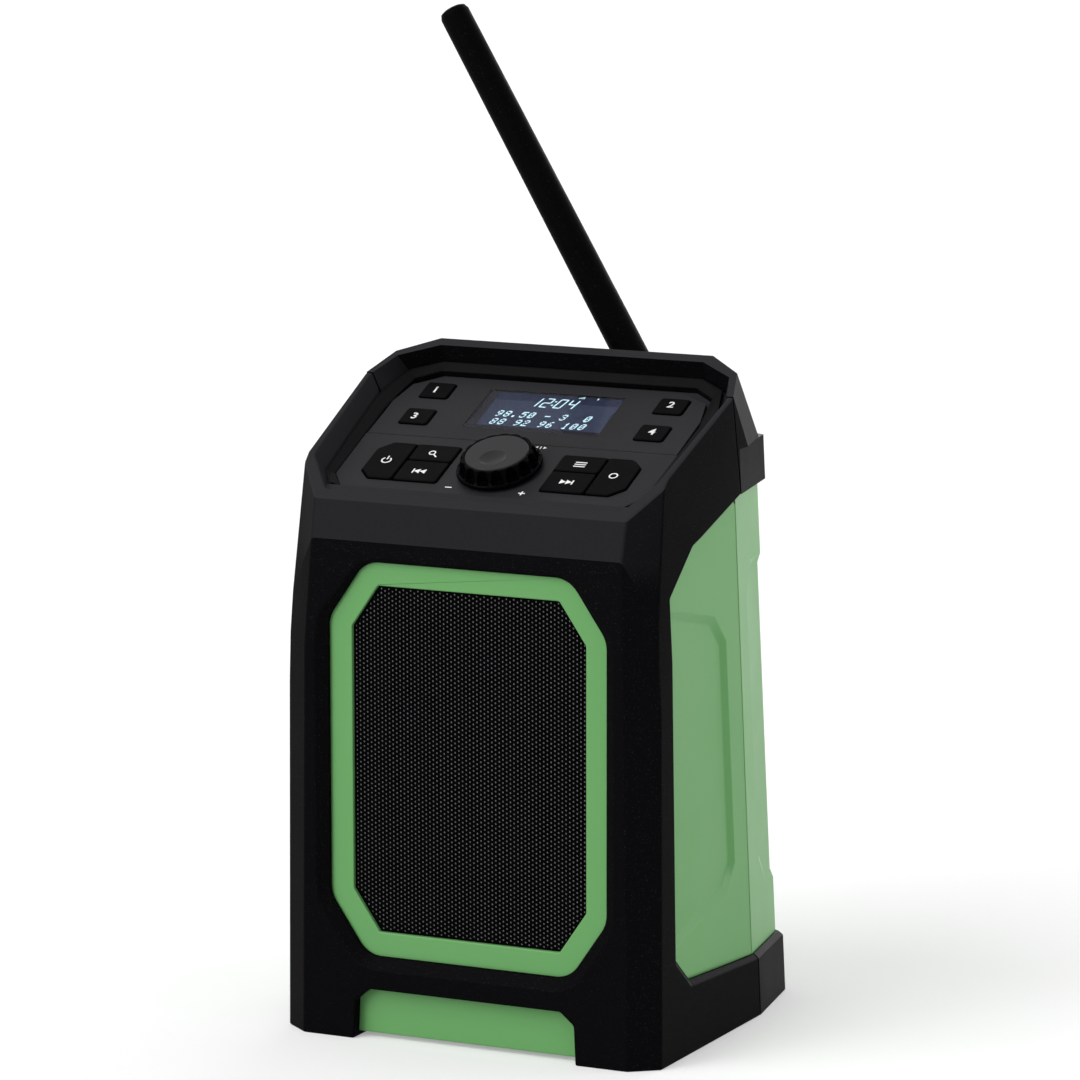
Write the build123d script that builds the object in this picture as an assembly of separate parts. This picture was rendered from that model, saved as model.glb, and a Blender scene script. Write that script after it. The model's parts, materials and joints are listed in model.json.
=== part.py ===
from build123d import *
import math
import os

# Jobsite radio. A faceted black frame wraps a green cabinet: sloped control tray on top,
# speaker grille in front, battery door and sockets at the back, swivelling aerial behind.
# X is to the viewer's right, the front faces -Y, Z is up. The origin is on the floor.

os.makedirs("parts", exist_ok=True)

# ---- overall sizes (mm) ----------------------------------------------------------------
half_width = 86.9           # side faces at the floor
front_reach = 76.0          # front face ahead of the origin
rear_reach = 80.0           # rear face behind the origin, at the floor
panel_height = 255.6        # control panel surface straight above the origin
panel_slope = 23.75         # the tray falls to the front, degrees
tray_depth = 9.1            # rim above the control panel
rear_lean = 5.8             # the back leans forward, degrees

# ---- faceted outer form ----------------------------------------------------------------
corner_width = 13.2         # chamfer between front and side, across
corner_depth = 9.2          # the same, front to back
side_lean_low = 1.3         # how far the side comes in at the front corner
side_lean_high = 1.7        # how far the side comes in at the shoulder
rim_lean_front = 4.9        # how far the rim comes in at its front end
rim_lean_rear = 2.0         # the same where the rim starts to round the back
band_height = 16.6          # sloped band under the tray lip
band_lean = 3.6             # how far the band leans back
face_lean = 3.0             # how far the upper front leans back below the band
face_lean_height = 44.6     # height over which it does so
corner_lean = 2.1           # how far the corner edge comes in over that height
corner_lean_low = 1.1       # the same below it, to the knee
shelf_rise = 1.2            # tray lip above the control panel
rim_front = -53.4           # y where the rim top turns down to the lip
parting_foot = 31.3         # y of the joint between front and rear parts, at the floor
parting_shoulder = 12.5     # the same at the shoulder
parting_rim = 4.5           # the same at the rim
shoulder = 226.0            # top of the side windows, foot of the rear pad
rear_corner = 79.0          # half-width where the back corner starts, at the floor
rear_corner_depth = 4.0     # depth of that corner
rear_corner_width = 7.0     # its width
ledge = 245.0               # step on top of the rear pad
rim_rear = 32.4             # y of the rim's rear edge
rim_turn = (79.2, 21.2)     # half-width and y where the rim turns across the back
rim_corner = 63.3           # half-width where the rim's rear straight starts
back_step = 51.5            # y of the back just above the ledge

# ---- walls and gaps --------------------------------------------------------------------
skin = 3.0                  # black frame over the green cabinet
front_skin = 5.6            # black frame over the green front
wall = 2.5                  # green cabinet wall
foot_clear = 2.0            # green floor above the standing face
foot_band = 13.0            # width of the black band that the radio stands on
deck = 5.0                  # cabinet top below the control panel
seam_gap = 0.25             # joint between front and rear parts
fit_gap = 0.1               # pieces that are fixed to each other
moving_gap = 0.3            # pieces that move past each other
running_gap = 0.05          # shafts in their bores

# ---- front -----------------------------------------------------------------------------
grille_half = 53.3          # half-width of the grille opening
grille_low = 45.3
grille_high = 191.3
grille_cut = (12.0, 17.5)   # corner cuts of the opening
ring_width = 9.9            # green ring round the grille
ring_round = 12.0           # outer corner radius of the ring
bevel_width = 5.0           # black bevel round the ring
bevel_depth = 3.9           # the bevel ends in a short straight wall
grille_step = 1.5           # grille behind the ring's face
grille_thick = 0.8
grille_flange = 6.0
cloth_thick = 0.5           # dust cloth behind the grille
arch_half = 51.0            # opening between the front feet
arch_height = 21.8
arch_cut = (7.0, 5.2)
window_front = -55.0        # front edge of the side window
window_low_front = -52.5
window_rise = 193.0         # where its upper slope starts
window_break = (-34.0, 211.5)
window_sill = 43.5          # where its lower slope starts
window_low = (-37.0, 30.5)
foot_height = 27.0          # black foot band at the joint
sill_bevel = 2.0            # bevelled upper edge of the foot band
recess_depth = 1.8          # long recess in the side wall
recess_border = 3.6
waist_depth = 1.2           # grip recess round the back
waist_border = 4.0
waist_low = 55.0            # its floor starts here
waist_high = 190.0          # and ends here

# ---- control tray (distance in from the side face, distance up the slope) ----------------
tray_foot_in = [(20.4, -70.0), (11.9, -55.5), (8.2, 6.3), (13.5, 25.0), (26.3, 33.1)]
tray_rim_in = [(17.9, -74.0), (8.0, -55.5), (4.3, 7.0), (9.9, 23.7), (25.9, 34.0)]
panel_edge_in = [(22.9, -64.8), (16.1, -55.4), (14.6, -2.3), (18.0, 20.6), (27.9, 27.6)]
display_edge_in = [(15.7, 2.5), (18.9, 16.5), (31.9, 23.5)]
board_edge_in = [(25.9, -57.0), (18.9, -52.5), (18.9, 10.0), (26.9, 20.0)]
panel_split = -23.2         # joint between display plate and key panel
panel_thick = 2.5
panel_ledge = 4.0           # width of the ledge under the panel
bezel_rise = 2.2            # outer edge of the sloped bezel
bezel_lip = 0.3             # its inner edge
window_half = 31.0          # display window
window_low_u = -13.5
window_high_u = 16.7
window_thick = 1.2

# ---- keys ------------------------------------------------------------------------------
key_gap = 0.4
key_space = 0.9             # between neighbouring keys of a group
key_proud = 0.8
key_flange = 0.8
key_round = 1.2
preset_size = (13.0, 11.4)
preset_x = 54.2
preset_u = (12.0, -8.8)
cluster_in = 23.6           # inner edge of the key clusters
cluster_split = 43.8
cluster_out = 60.2
cluster_high = -30.0
cluster_row = -42.2
cluster_low = -57.2
cluster_cut = (5.4, 5.6)

# ---- knob ------------------------------------------------------------------------------
knob_u = -43.5
knob_radius = 18.2
knob_grip_radius = 15.2
knob_cap_radius = 13.6
knob_height = 7.2
knob_lift = 1.0             # knob above the panel
knob_push = 0.5
shaft_radius = 3.0
bushing_radius = 3.5
bushing_reach = 2.0         # bushing above the panel
dimple_radius = 13.0        # ball that shapes the finger dimple
dimple_offset = 4.0         # dimple ahead of the knob's centre
scallop_count = 16
scallop_radius = 2.5
scallop_depth = 1.1         # below the grip's upper edge

# ---- inside the tray -------------------------------------------------------------------
board_depth = 7.4           # control board below the panel surface
board_thick = 1.6
post_radius = 2.6
post_in = 22.7              # posts of the key panel, in from the side face
screw_radius = 1.25

# ---- speaker ---------------------------------------------------------------------------
speaker_radius = 51.0
speaker_cone_radius = 41.0
speaker_height = 118.3
baffle_thick = 3.5
basket_depth = 30.0
magnet_radius = 30.0
magnet_thick = 12.0

# ---- battery bay (centre height, sizes in the plane of the back) -------------------------
bay_height = 122.0
bay_side_space = 4.6        # free width beside the two columns of cells
bay_door_space = 1.9        # between the cells and the door
bay_wall = 1.6
rib_thick = 1.2             # rib between the columns
bay_seat = 1.0              # ledge that the door rests on
cheek_depth = 5.1           # blocks for the hinge pins
door_thick = 2.6
cell_radius = 16.6
cell_length = 61.5
spring_space = 3.55         # length left for the contact springs
wire_radius = 0.35          # contact springs
plate_thick = 0.4           # contact plates

# ---- sockets ---------------------------------------------------------------------------
socket_x = -30.0            # centre of the flap, to the left seen from behind
socket_height = 40.5
socket_half = 17.0
socket_rise = 6.5
socket_depth = 9.0
flap_thick = 2.0

# ---- aerial ----------------------------------------------------------------------------
aerial_x = 23.4
aerial_y = 62.0
aerial_height = 254.0
aerial_lean = 30.4          # degrees from upright, towards -X
aerial_reach = 189.6        # pivot to tip
aerial_base_radius = 7.3
aerial_tip_radius = 6.5
knuckle_radius = 8.0
pivot_radius = 2.5

# ---- screws ----------------------------------------------------------------------------
case_screw_x = 63.0
case_screw_low = 38.0
case_screw_high = 205.0
case_screw_radius = 1.5
screw_head_radius = 3.2
screw_head = 2.2
boss_radius = 4.2

bay_half = 2 * cell_radius + rib_thick + bay_side_space
bay_rise = cell_length + running_gap + spring_space + plate_thick + bay_seat
bay_depth = 2 * cell_radius + moving_gap + bay_door_space + door_thick

slope = math.tan(math.radians(panel_slope))
panel = Plane(origin=(0, 0, panel_height), x_dir=(1, 0, 0),
              z_dir=(0, -math.sin(math.radians(panel_slope)), math.cos(math.radians(panel_slope))))
front_plane = Plane.XZ      # its z runs to the front, so offset(76) is the plane y = -76


# ---- small helpers ---------------------------------------------------------------------
def solid_of(shape):
    """The shape as one part."""
    return Part(Compound(list(shape.solids())).wrapped)


def save(name, shape):
    """Write a piece, with the origin moved under the middle of the outline."""
    shape = solid_of(Pos(0, (front_reach - rear_reach) / 2, 0) * shape)
    shape.label = name
    export_step(shape, f"parts/{name}.step")
    print(name, len(shape.solids()), round(shape.volume))


def polygon(points):
    return make_face(Polyline(*points, close=True))


def both_sides(points):
    """Outline from the points of its right half."""
    return polygon(points + [(-x, y) for x, y in reversed(points)])


def grown(face, amount):
    return offset(face, amount, kind=Kind.INTERSECTION)


def slab(face, plane, low, high):
    """Prism on a plane, between two heights above it."""
    return extrude(plane.offset(low) * face, amount=high - low)


def side_prism(points, near, far):
    """Prism along X of an outline in (y, z)."""
    return slab(polygon(points), Plane.YZ, near, far)


def rod(start, direction, radius, length):
    axis = Plane(origin=start, z_dir=direction)
    return extrude(axis * Circle(radius), amount=length)


def panel_z(y):
    return panel_height + slope * y


# ---- the faceted form ------------------------------------------------------------------
lip_y = -(front_reach - face_lean - band_lean)
lip_z = panel_z(lip_y) + shelf_rise / math.cos(math.radians(panel_slope))
band_z = lip_z - band_height
knee_z = band_z - face_lean_height
face_half = half_width - corner_width
rim_z = panel_height + tray_depth / math.cos(math.radians(panel_slope))
rear_tan = math.tan(math.radians(rear_lean))


def rim_top(y):
    return rim_z + slope * y


def facet(a, b, c, mirrored=False):
    """Plane through three points of the form, facing out."""
    sign = -1 if mirrored else 1
    a, b, c = (Vector(sign * p[0], p[1], p[2]) for p in (a, b, c))
    normal = (b - a).cross(c - a)
    if normal.dot(Vector(0, 0, bay_height) - a) > 0:
        normal = normal * -1
    return Plane(origin=a, z_dir=normal)


def pair(a, b, c):
    return [facet(a, b, c), facet(a, b, c, True)]


side_foot = (half_width, parting_foot, 0)
side_shoulder = (half_width - side_lean_high, parting_shoulder, shoulder)
corner_low = (half_width - side_lean_low, -front_reach + corner_depth, 60)
face_low = (face_half, -front_reach, 60)
face_knee = (face_half - corner_lean_low - 0.2, -front_reach, knee_z)
band_corner = (face_half - corner_lean - corner_lean_low - 0.2, -front_reach + face_lean, band_z)
lip_corner = (band_corner[0] + 0.5, lip_y, lip_z)
neck = (half_width - rim_lean_front + 0.3, lip_y + 4.9, band_z - 4.6)
throat = (half_width - rim_lean_front + 0.4, lip_y + 10.4, lip_z - 1.0)
rim_front_point = (half_width - rim_lean_front, rim_front, rim_top(rim_front))
rim_side_point = (half_width - rim_lean_rear, parting_rim, rim_top(parting_rim))
side_knee = (half_width - 2.0, -front_reach + corner_depth + 0.7, knee_z - 15)
rim_turn_point = (rim_turn[0], rim_turn[1], rim_top(rim_turn[1]))
rim_corner_point = (rim_corner, rim_rear, rim_top(rim_rear))
back_corner = (rear_corner, rear_reach - rear_corner_depth, 0)
back_corner_high = (rear_corner, rear_reach - rear_corner_depth - rear_tan * shoulder, shoulder)
back_flat = (rear_corner - rear_corner_width, rear_reach, 0)

side_facets = (pair(side_foot, side_shoulder, corner_low)
               + pair(rim_front_point, rim_side_point, side_knee)
               + pair(face_low, corner_low, face_knee)
               + pair(face_knee, band_corner, neck)
               + pair(band_corner, lip_corner, throat)
               + [facet((0, -front_reach, knee_z), (9, -front_reach, knee_z), (0, band_corner[1], band_z)),
                  facet((0, band_corner[1], band_z), (9, band_corner[1], band_z), (0, lip_y, lip_z))])
back_facets = (pair(side_foot, side_shoulder, back_corner)
               + pair(back_corner, back_corner_high, back_flat)
               + [facet((0, rear_reach, 0), (9, rear_reach, 0),
                        (0, rear_reach - rear_tan * ledge, ledge))])
neck_low = (rear_corner - 1.5, back_step - 3.0, ledge)
crown_facets = (pair(rim_side_point, rim_turn_point, neck_low)
                + pair(rim_turn_point, rim_corner_point, (neck_low[0] - 4.0, back_step - 1.2, ledge))
                + [facet((0, rim_rear, rim_top(rim_rear)), (9, rim_rear, rim_top(rim_rear)),
                         (0, back_step, ledge))])
front_facet = front_plane.offset(front_reach)
lip_facet = facet((0, lip_y, lip_z), (9, lip_y, lip_z), (0, rim_front, rim_top(rim_front)))


def trimmed(block, planes, inset=0.0):
    for plane in planes:
        block = split(block, bisect_by=plane.offset(-inset), keep=Keep.BOTTOM)
    return block


def form(inset, front_inset, floor, roof):
    """The whole outer form pulled in by a wall, with its own floor and sloped roof."""
    step = ledge - inset
    low = Pos(0, 0, (step + floor) / 2) * Box(300, 300, step - floor)
    high = Pos(0, 0, step + 40) * Box(300, 300, 80)
    low = trimmed(low, side_facets + back_facets, inset)
    high = trimmed(high, side_facets + crown_facets, inset)
    body = trimmed(low + high, [front_facet], front_inset)
    return trimmed(body, [panel.offset(roof)])


def front_half(gap=0.0):
    """Everything ahead of the joint between the front and the rear parts."""
    top = (parting_rim - parting_shoulder) / (rim_top(parting_rim) - shoulder)
    low = (parting_foot - parting_shoulder) / shoulder
    points = [(-150, -20), (parting_foot + 20 * low + gap, -20), (parting_shoulder + gap, shoulder),
              (parting_shoulder + gap + 80 * top, shoulder + 80), (-150, shoulder + 80)]
    return side_prism(points, -150, 150)


def rear_half():
    return Box(300, 300, 700) - front_half(seam_gap)


outer = trimmed(form(0, 0, 0, tray_depth), [lip_facet])
green = form(skin, front_skin, foot_clear, -deck)
cavity = form(skin + wall, front_skin + wall, foot_clear + wall, -deck + 1)
front_zone = front_half()
rear_zone = rear_half()


# ---- outlines shared by several pieces ----------------------------------------------------
def from_side(points):
    """Tray outline from distances in from the side face."""
    return [(half_width - x, u) for x, u in points]


tray_foot = from_side(tray_foot_in)
tray_rim = from_side(tray_rim_in)
panel_edge = from_side(panel_edge_in)
display_edge = from_side(display_edge_in)
board_edge = from_side(board_edge_in)


def octagon(grow, radius=0.0):
    """Grille outline, grown evenly, in (x, z)."""
    cut_x, cut_z = grille_cut
    right = [(grille_half - cut_x, grille_low), (grille_half, grille_low + cut_z),
             (grille_half, grille_high - cut_z), (grille_half - cut_x, grille_high)]
    face = both_sides(right)
    if grow:
        face = grown(face, grow)
    if radius:
        face = fillet(face.vertices(), radius)
    return face


def front_opening():
    """Tapered opening in the black frame round the ring."""
    edge = octagon(ring_width, ring_round)
    inner = front_plane.offset(front_reach - bevel_depth) * edge
    ahead = front_plane.offset(front_reach + bevel_depth) * octagon(ring_width + 2 * bevel_width,
                                                                    ring_round + 2 * bevel_width)
    return loft([inner, ahead], ruled=True) + slab(edge, front_plane, 0, front_reach - bevel_depth)


def arch():
    cut_x, cut_z = arch_cut
    points = [(arch_half, -1), (arch_half - 0.8, arch_height - cut_z),
              (arch_half - cut_x, arch_height)]
    behind = front_reach - front_skin - foot_band
    return slab(both_sides(points), front_plane, behind, front_reach + 9)


def side_frame(facet_plane, depth):
    """Sketch plane on a side wall: x runs to the rear, y runs up."""
    at = facet_plane.offset(-depth)
    return Plane(origin=at.origin, x_dir=(0, 1, 0), z_dir=at.z_dir)


def on_side(plane, points):
    """Outline in (y, z) laid on a sloped side plane."""
    return [(y - plane.origin.Y, z - plane.origin.Z) for y, z in points]


def sill_cut():
    """Bevel along the lower edges of the side window."""
    plane = side_frame(side_facets[0], sill_bevel)
    low = (window_low_front, window_sill)
    points = [low, window_low, (parting_foot, foot_height), (60, foot_height), (60, 60),
              (window_low_front, 60)]
    cut = extrude(plane * polygon(on_side(plane, points)), amount=2 * sill_bevel, taper=-45)
    limit = [(window_low_front, 0), (60, 0), (60, 60), (window_low_front, 60)]
    return cut & side_prism(limit, half_width - 25, half_width + 20)


def side_window():
    points = [(parting_foot, foot_height), window_low, (window_low_front, window_sill),
              (window_front, window_rise), window_break, (parting_shoulder, shoulder),
              (60, shoulder), (60, foot_height)]
    right = side_prism(points, half_width - 25, half_width + 20) + sill_cut()
    return right + mirror(right, about=Plane.YZ)


def tray_hollow():
    """The tray above the control panel, with the rebate and the well for the boards."""
    foot = panel * both_sides(tray_foot)
    rim = panel.offset(tray_depth) * both_sides(tray_rim)
    above = panel.offset(2 * tray_depth) * both_sides(tray_rim)
    bowl = loft([foot, rim], ruled=True) + loft([rim, above], ruled=True)
    rebate = slab(grown(both_sides(panel_edge), fit_gap), panel, -panel_thick, tray_depth)
    well = slab(grown(both_sides(panel_edge), -panel_ledge), panel, -deck - 5, 1)
    shelf_front = tray_foot[0][1] - 20
    shelf = slab(Pos(0, (shelf_front + panel_edge[0][1] - fit_gap) / 2)
                 * Rectangle(200, panel_edge[0][1] - fit_gap - shelf_front), panel, -1, shelf_rise)
    return (bowl - shelf) + rebate + well


def underside():
    """The open middle of the standing face."""
    return form(foot_band, foot_band + front_skin, -1, -deck) & Box(300, 300, 2 * foot_clear)


hollow = tray_hollow()


# ---- black frame -------------------------------------------------------------------------
def front_frame():
    body = (outer & front_zone) - green - hollow
    return body - front_opening() - arch() - side_window() - underside()


def top_rear_bumper():
    above = Pos(0, 0, shoulder + 100) * Box(300, 300, 200)
    body = (outer & rear_zone & above) - green - hollow
    hole = rod((aerial_x, 0, aerial_height), (0, 1, 0), pivot_radius + fit_gap, rear_reach)
    boss_face = aerial_y - aerial_base_radius - moving_gap
    boss = rod((aerial_x, rim_rear, aerial_height), (0, 1, 0), knuckle_radius + 1, boss_face - rim_rear)
    return body + (boss - green - hollow) - hole


def at_height(plane, height):
    """Point of a steep plane at that height."""
    level = Vector(plane.z_dir.X, plane.z_dir.Y, 0)
    rise = plane.z_dir.Z * (height - plane.origin.Z)
    return Vector(plane.origin.X, plane.origin.Y, height) - level * (rise / level.length ** 2)


def bottom_rear_bumper():
    below = Pos(0, 0, foot_height / 2) * Box(300, 300, foot_height)
    bevels = [Plane(origin=at_height(side, foot_height - sill_bevel), z_dir=side.z_dir + Vector(0, 0, 1))
              for side in back_facets]
    return trimmed(outer & rear_zone & below, bevels) - green - underside()


# ---- green cabinet -----------------------------------------------------------------------
def side_recess():
    """Long shallow recess with a sloped border, open under the corner post."""
    plane = side_frame(side_facets[0], skin + recess_depth)
    points = [(-72.0, 188.4), (-9.6, 174.4), (0.2, 164.0), (8.3, 71.2), (1.4, 61.2), (-72.0, 43.4)]
    face = plane * polygon(on_side(plane, points))
    taper = math.degrees(math.atan(recess_border / recess_depth))
    right = extrude(face, amount=2 * recess_depth, taper=-taper)
    return right + mirror(right, about=Plane.YZ)


def case_screw_points():
    return [(x, z) for x in (-case_screw_x, case_screw_x) for z in (case_screw_low, case_screw_high)]


def green_back(z):
    """y of the green rear face."""
    return rear_reach - skin / math.cos(math.radians(rear_lean)) - rear_tan * z


def parting_y(z):
    return parting_foot + (parting_shoulder - parting_foot) * z / shoulder


def screw_seat(z):
    """y of the face under a case screw's head."""
    return green_back(z) - screw_head - 1.6


def front_cabinet():
    shell = (green & front_zone) - cavity
    for x, z in case_screw_points():
        front = -(front_reach - front_skin - wall / 2)
        shell += rod((x, front, z), (0, 1, 0), boss_radius, parting_y(z) - front)
    for x, z in case_screw_points():
        shell -= rod((x, parting_y(z) - 20, z), (0, 1, 0), case_screw_radius + fit_gap, 40)
    opening = slab(octagon(0), front_plane, 0, 200)
    return (shell - opening - side_recess()) & front_zone


def beyond_border(lines):
    """What stays outside one border of the waist, from (floor plane, start, end) lines."""
    planes = []
    for floor, start, end in lines:
        inward = floor.z_dir.cross(end - start).normalized()
        middle = Vector(0, rear_reach, (waist_low + waist_high) / 2)
        if inward.dot(middle - start) < 0:
            inward = inward * -1
        planes.append(Plane(origin=start, z_dir=floor.z_dir * waist_border + inward * waist_depth))
    return trimmed(Box(300, 300, 700), planes)


def on_plane(plane, y, z):
    """Point of a side plane at that depth and height."""
    drop = plane.z_dir.Y * (y - plane.origin.Y) + plane.z_dir.Z * (z - plane.origin.Z)
    return Vector(plane.origin.X - drop / plane.z_dir.X, y, z)


def waist():
    """Shallow grip recess round the back of the rear cover, with a sloped border."""
    floors = [plane.offset(-skin - waist_depth) for plane in back_facets]
    ends = [(parting_foot + 8, waist_high), (parting_foot + 2, waist_high - 11),
            (parting_foot + 16, waist_low + 11), (parting_foot + 26, waist_low)]
    cut = Box(300, 300, 700) - form(skin + waist_depth, front_skin, foot_clear, -deck)
    for start, end in zip(ends, ends[1:]):
        cut -= beyond_border([(floor, on_plane(floor, *start), on_plane(floor, *end))
                              for floor in floors[:2]])
    for height in (waist_low, waist_high):
        along = [at_height(floor, height) for floor in floors]
        cut -= beyond_border([(floor, point, point + floor.z_dir.cross(Vector(0, 0, 1)))
                              for floor, point in zip(floors, along)])
    return cut


back_origin = (0, green_back(bay_height) - waist_depth / math.cos(math.radians(rear_lean)),
               bay_height)
back = Plane(origin=back_origin, x_dir=(-1, 0, 0),
             z_dir=(0, math.cos(math.radians(rear_lean)), math.sin(math.radians(rear_lean))))
socket_back = Plane(origin=(0, green_back(socket_height), socket_height), x_dir=(-1, 0, 0),
                    z_dir=(0, math.cos(math.radians(rear_lean)), math.sin(math.radians(rear_lean))))


def hinged_plate(plane, centre_x, half, rise, thick, round_top):
    """Plate flush with a face, with a hinge barrel along its lower edge."""
    barrel = thick / 2
    low = -rise + moving_gap
    face = Pos(centre_x, (low + barrel + rise - moving_gap) / 2) * Rectangle(
        2 * (half - moving_gap), 2 * rise - 2 * moving_gap - barrel)
    corners = face.vertices().sort_by(Axis.Y)[2:]
    plate = slab(fillet(corners, round_top), plane, -thick, 0)
    edge = Plane(origin=plane.from_local_coords((centre_x - half + moving_gap, low + barrel, -barrel)),
                 z_dir=plane.x_dir)
    return plate + extrude(edge * Circle(barrel), amount=2 * (half - moving_gap))


def hinge_pin(plane, centre_x, half, rise, thick, radius, reach):
    """Pin through the barrel that stands out into the cover at both ends."""
    barrel = thick / 2
    start = plane.from_local_coords((centre_x - half - reach, -rise + moving_gap + barrel, -barrel))
    return extrude(Plane(origin=start, z_dir=plane.x_dir) * Circle(radius), amount=2 * (half + reach))


def rear_cover():
    shell = (green & rear_zone) - cavity
    for x, z in case_screw_points():
        shell += rod((x, parting_y(z) + seam_gap, z), (0, 1, 0), boss_radius,
                     green_back(z) - wall / 2 - parting_y(z) - seam_gap)
    shell -= waist()
    for x, z in case_screw_points():
        shell -= rod((x, 0, z), (0, 1, 0), case_screw_radius + fit_gap, rear_reach)
        shell -= rod((x, screw_seat(z), z), (0, 1, 0), screw_head_radius + fit_gap, 30)
    bay = Rectangle(2 * bay_half, 2 * bay_rise)
    shell += slab(hinge_cheeks(), back, -cheek_depth, -(wall - waist_depth) / 2)
    shell -= slab(fillet(bay.vertices().sort_by(Axis.Y)[2:], 6), back, -20, 20)
    shell -= hinge_pin(back, 0, bay_half, bay_rise, door_thick, 0.8 + running_gap, 3.2)
    pocket = Pos(socket_x, 0) * Rectangle(2 * socket_half, 2 * socket_rise)
    cup = Pos(socket_x, 0) * Rectangle(2 * socket_half + 2 * wall, 2 * socket_rise + 2 * wall)
    shell += slab(cup, socket_back, -socket_depth - wall, -1)
    shell -= slab(fillet(pocket.vertices().sort_by(Axis.Y)[2:], 2), socket_back, -socket_depth, 20)
    shell -= hinge_pin(socket_back, socket_x, socket_half, socket_rise, flap_thick,
                       0.6 + running_gap, 1.6)
    for place, radius in socket_holes():
        shell -= slab(Pos(*place) * Circle(radius + fit_gap), socket_back, -socket_depth - 2 * wall, 0)
    return shell


def socket_holes():
    """Centres and barrel radii of the supply and line-in sockets."""
    return [((socket_x - 8.0, 0.5), 4.0), ((socket_x + 8.0, 0.5), 3.0)]


# ---- speaker -----------------------------------------------------------------------------
ring_face = front_reach - front_skin            # distance of the green ring's face ahead
flange_face = ring_face - wall                  # back of the green front wall
baffle_face = flange_face - grille_thick
baffle_back = baffle_face - baffle_thick


def grille():
    flange = slab(octagon(grille_flange), front_plane, baffle_face, flange_face)
    pan = slab(octagon(-fit_gap, 0), front_plane, baffle_face, ring_face - grille_step)
    inside = slab(octagon(-fit_gap - grille_thick), front_plane, baffle_face - 1,
                  ring_face - grille_step - grille_thick)
    return flange + pan - inside


def grille_cloth():
    """Dust cloth glued to the back of the perforated sheet."""
    front = ring_face - grille_step - grille_thick
    return slab(octagon(-grille_thick - 2 * fit_gap), front_plane, front - cloth_thick, front)


def speaker_axis(distance):
    return Plane(origin=(0, -distance, speaker_height), x_dir=(1, 0, 0), z_dir=(0, 1, 0))


def baffle():
    plate = slab(octagon(grille_flange + 4), front_plane, baffle_back, baffle_face)
    plate &= form(skin + wall + moving_gap, 0, foot_clear + wall + moving_gap, -deck)
    for x, z in case_screw_points():
        plate -= rod((x, -front_reach, z), (0, 1, 0), boss_radius + moving_gap, 2 * front_reach)
    hole = slab(Pos(0, speaker_height) * Circle(speaker_cone_radius + 5), front_plane, 0, 100)
    plate -= hole
    for angle in range(45, 360, 90):
        x = speaker_screw_circle() * math.cos(math.radians(angle))
        z = speaker_height + speaker_screw_circle() * math.sin(math.radians(angle))
        plate -= rod((x, -baffle_face + 1, z), (0, 1, 0), screw_radius, baffle_thick)
    return plate


def speaker_screw_circle():
    return speaker_radius + 2.5


def ring(plane, outer_radius, inner_radius, thick):
    return extrude(plane * (Circle(outer_radius) - Circle(inner_radius)), amount=thick)


def turned(plane, points):
    """Body of revolution about a plane's z from (radius, height) points."""
    profile = Plane(origin=plane.origin, x_dir=plane.x_dir, z_dir=-plane.y_dir) * polygon(points)
    return revolve(profile, axis=Axis(plane.origin, plane.z_dir))


gasket_thick = 1.0
flange_thick = 1.5


def speaker_gasket():
    return ring(speaker_axis(baffle_back), speaker_radius - 1, speaker_cone_radius + 5, gasket_thick)


def speaker_basket():
    """Pressed steel basket: flange with ears, sloped wall with windows, back plate."""
    plane = speaker_axis(baffle_back - gasket_thick)
    radius = speaker_cone_radius + 4.5
    back_radius = magnet_radius - 4
    thick = 1.2
    body = turned(plane, [(radius, 0), (speaker_radius, 0), (speaker_radius, flange_thick),
                          (radius + thick, flange_thick), (radius + thick, 4),
                          (back_radius + thick, basket_depth), (14, basket_depth),
                          (14, basket_depth - thick), (back_radius, basket_depth - thick),
                          (radius, 4)])
    ear = Pos(speaker_screw_circle(), 0) * Circle(4.5) - Circle(speaker_radius - 2)
    hole = Pos(speaker_screw_circle(), 0) * Circle(screw_radius + fit_gap)
    for angle in range(45, 360, 90):
        body += extrude(plane * Rot(0, 0, angle) * ear, amount=flange_thick)
    for angle in range(45, 360, 90):
        body -= extrude(plane * Rot(0, 0, angle) * hole, amount=flange_thick)
    opening = Pos(radius - 4, 0) * Rectangle(26, 24)
    for angle in range(0, 360, 60):
        body -= extrude(plane.offset(8) * Rot(0, 0, angle) * opening, amount=basket_depth - 13)
    return body


def speaker_cone():
    plane = speaker_axis(baffle_back - gasket_thick)
    return turned(plane, [(speaker_cone_radius - 3, 2), (speaker_cone_radius - 2.6, 2.6),
                          (13, 20), (12.6, 19.4)])


def speaker_surround():
    """Half-roll rubber edge between the cone and the basket flange."""
    plane = speaker_axis(baffle_back - gasket_thick)
    profile = [(speaker_cone_radius - 2.8, 1.9), (speaker_cone_radius - 1, -0.6),
               (speaker_cone_radius + 1.5, -0.6), (speaker_cone_radius + 4.4, 0.4),
               (speaker_cone_radius + 4.4, 1.2), (speaker_cone_radius + 1.5, 0.2),
               (speaker_cone_radius - 0.8, 0.2), (speaker_cone_radius - 2.4, 1.95)]
    return turned(plane, profile)


def dust_cap():
    plane = speaker_axis(baffle_back - gasket_thick)
    return turned(plane, [(0, 13.4), (8, 14.8), (13.6, 18.2), (13.2, 18.8), (8, 15.6), (0, 14.2)])


def speaker_magnet():
    plane = speaker_axis(baffle_back - gasket_thick - basket_depth)
    magnet = turned(plane, [(0, 0), (magnet_radius - 5, 0), (magnet_radius - 5, 2.5),
                            (magnet_radius, 2.5), (magnet_radius, magnet_thick),
                            (magnet_radius - 4, magnet_thick), (magnet_radius - 5, magnet_thick + 3),
                            (0, magnet_thick + 3)])
    return magnet


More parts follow.
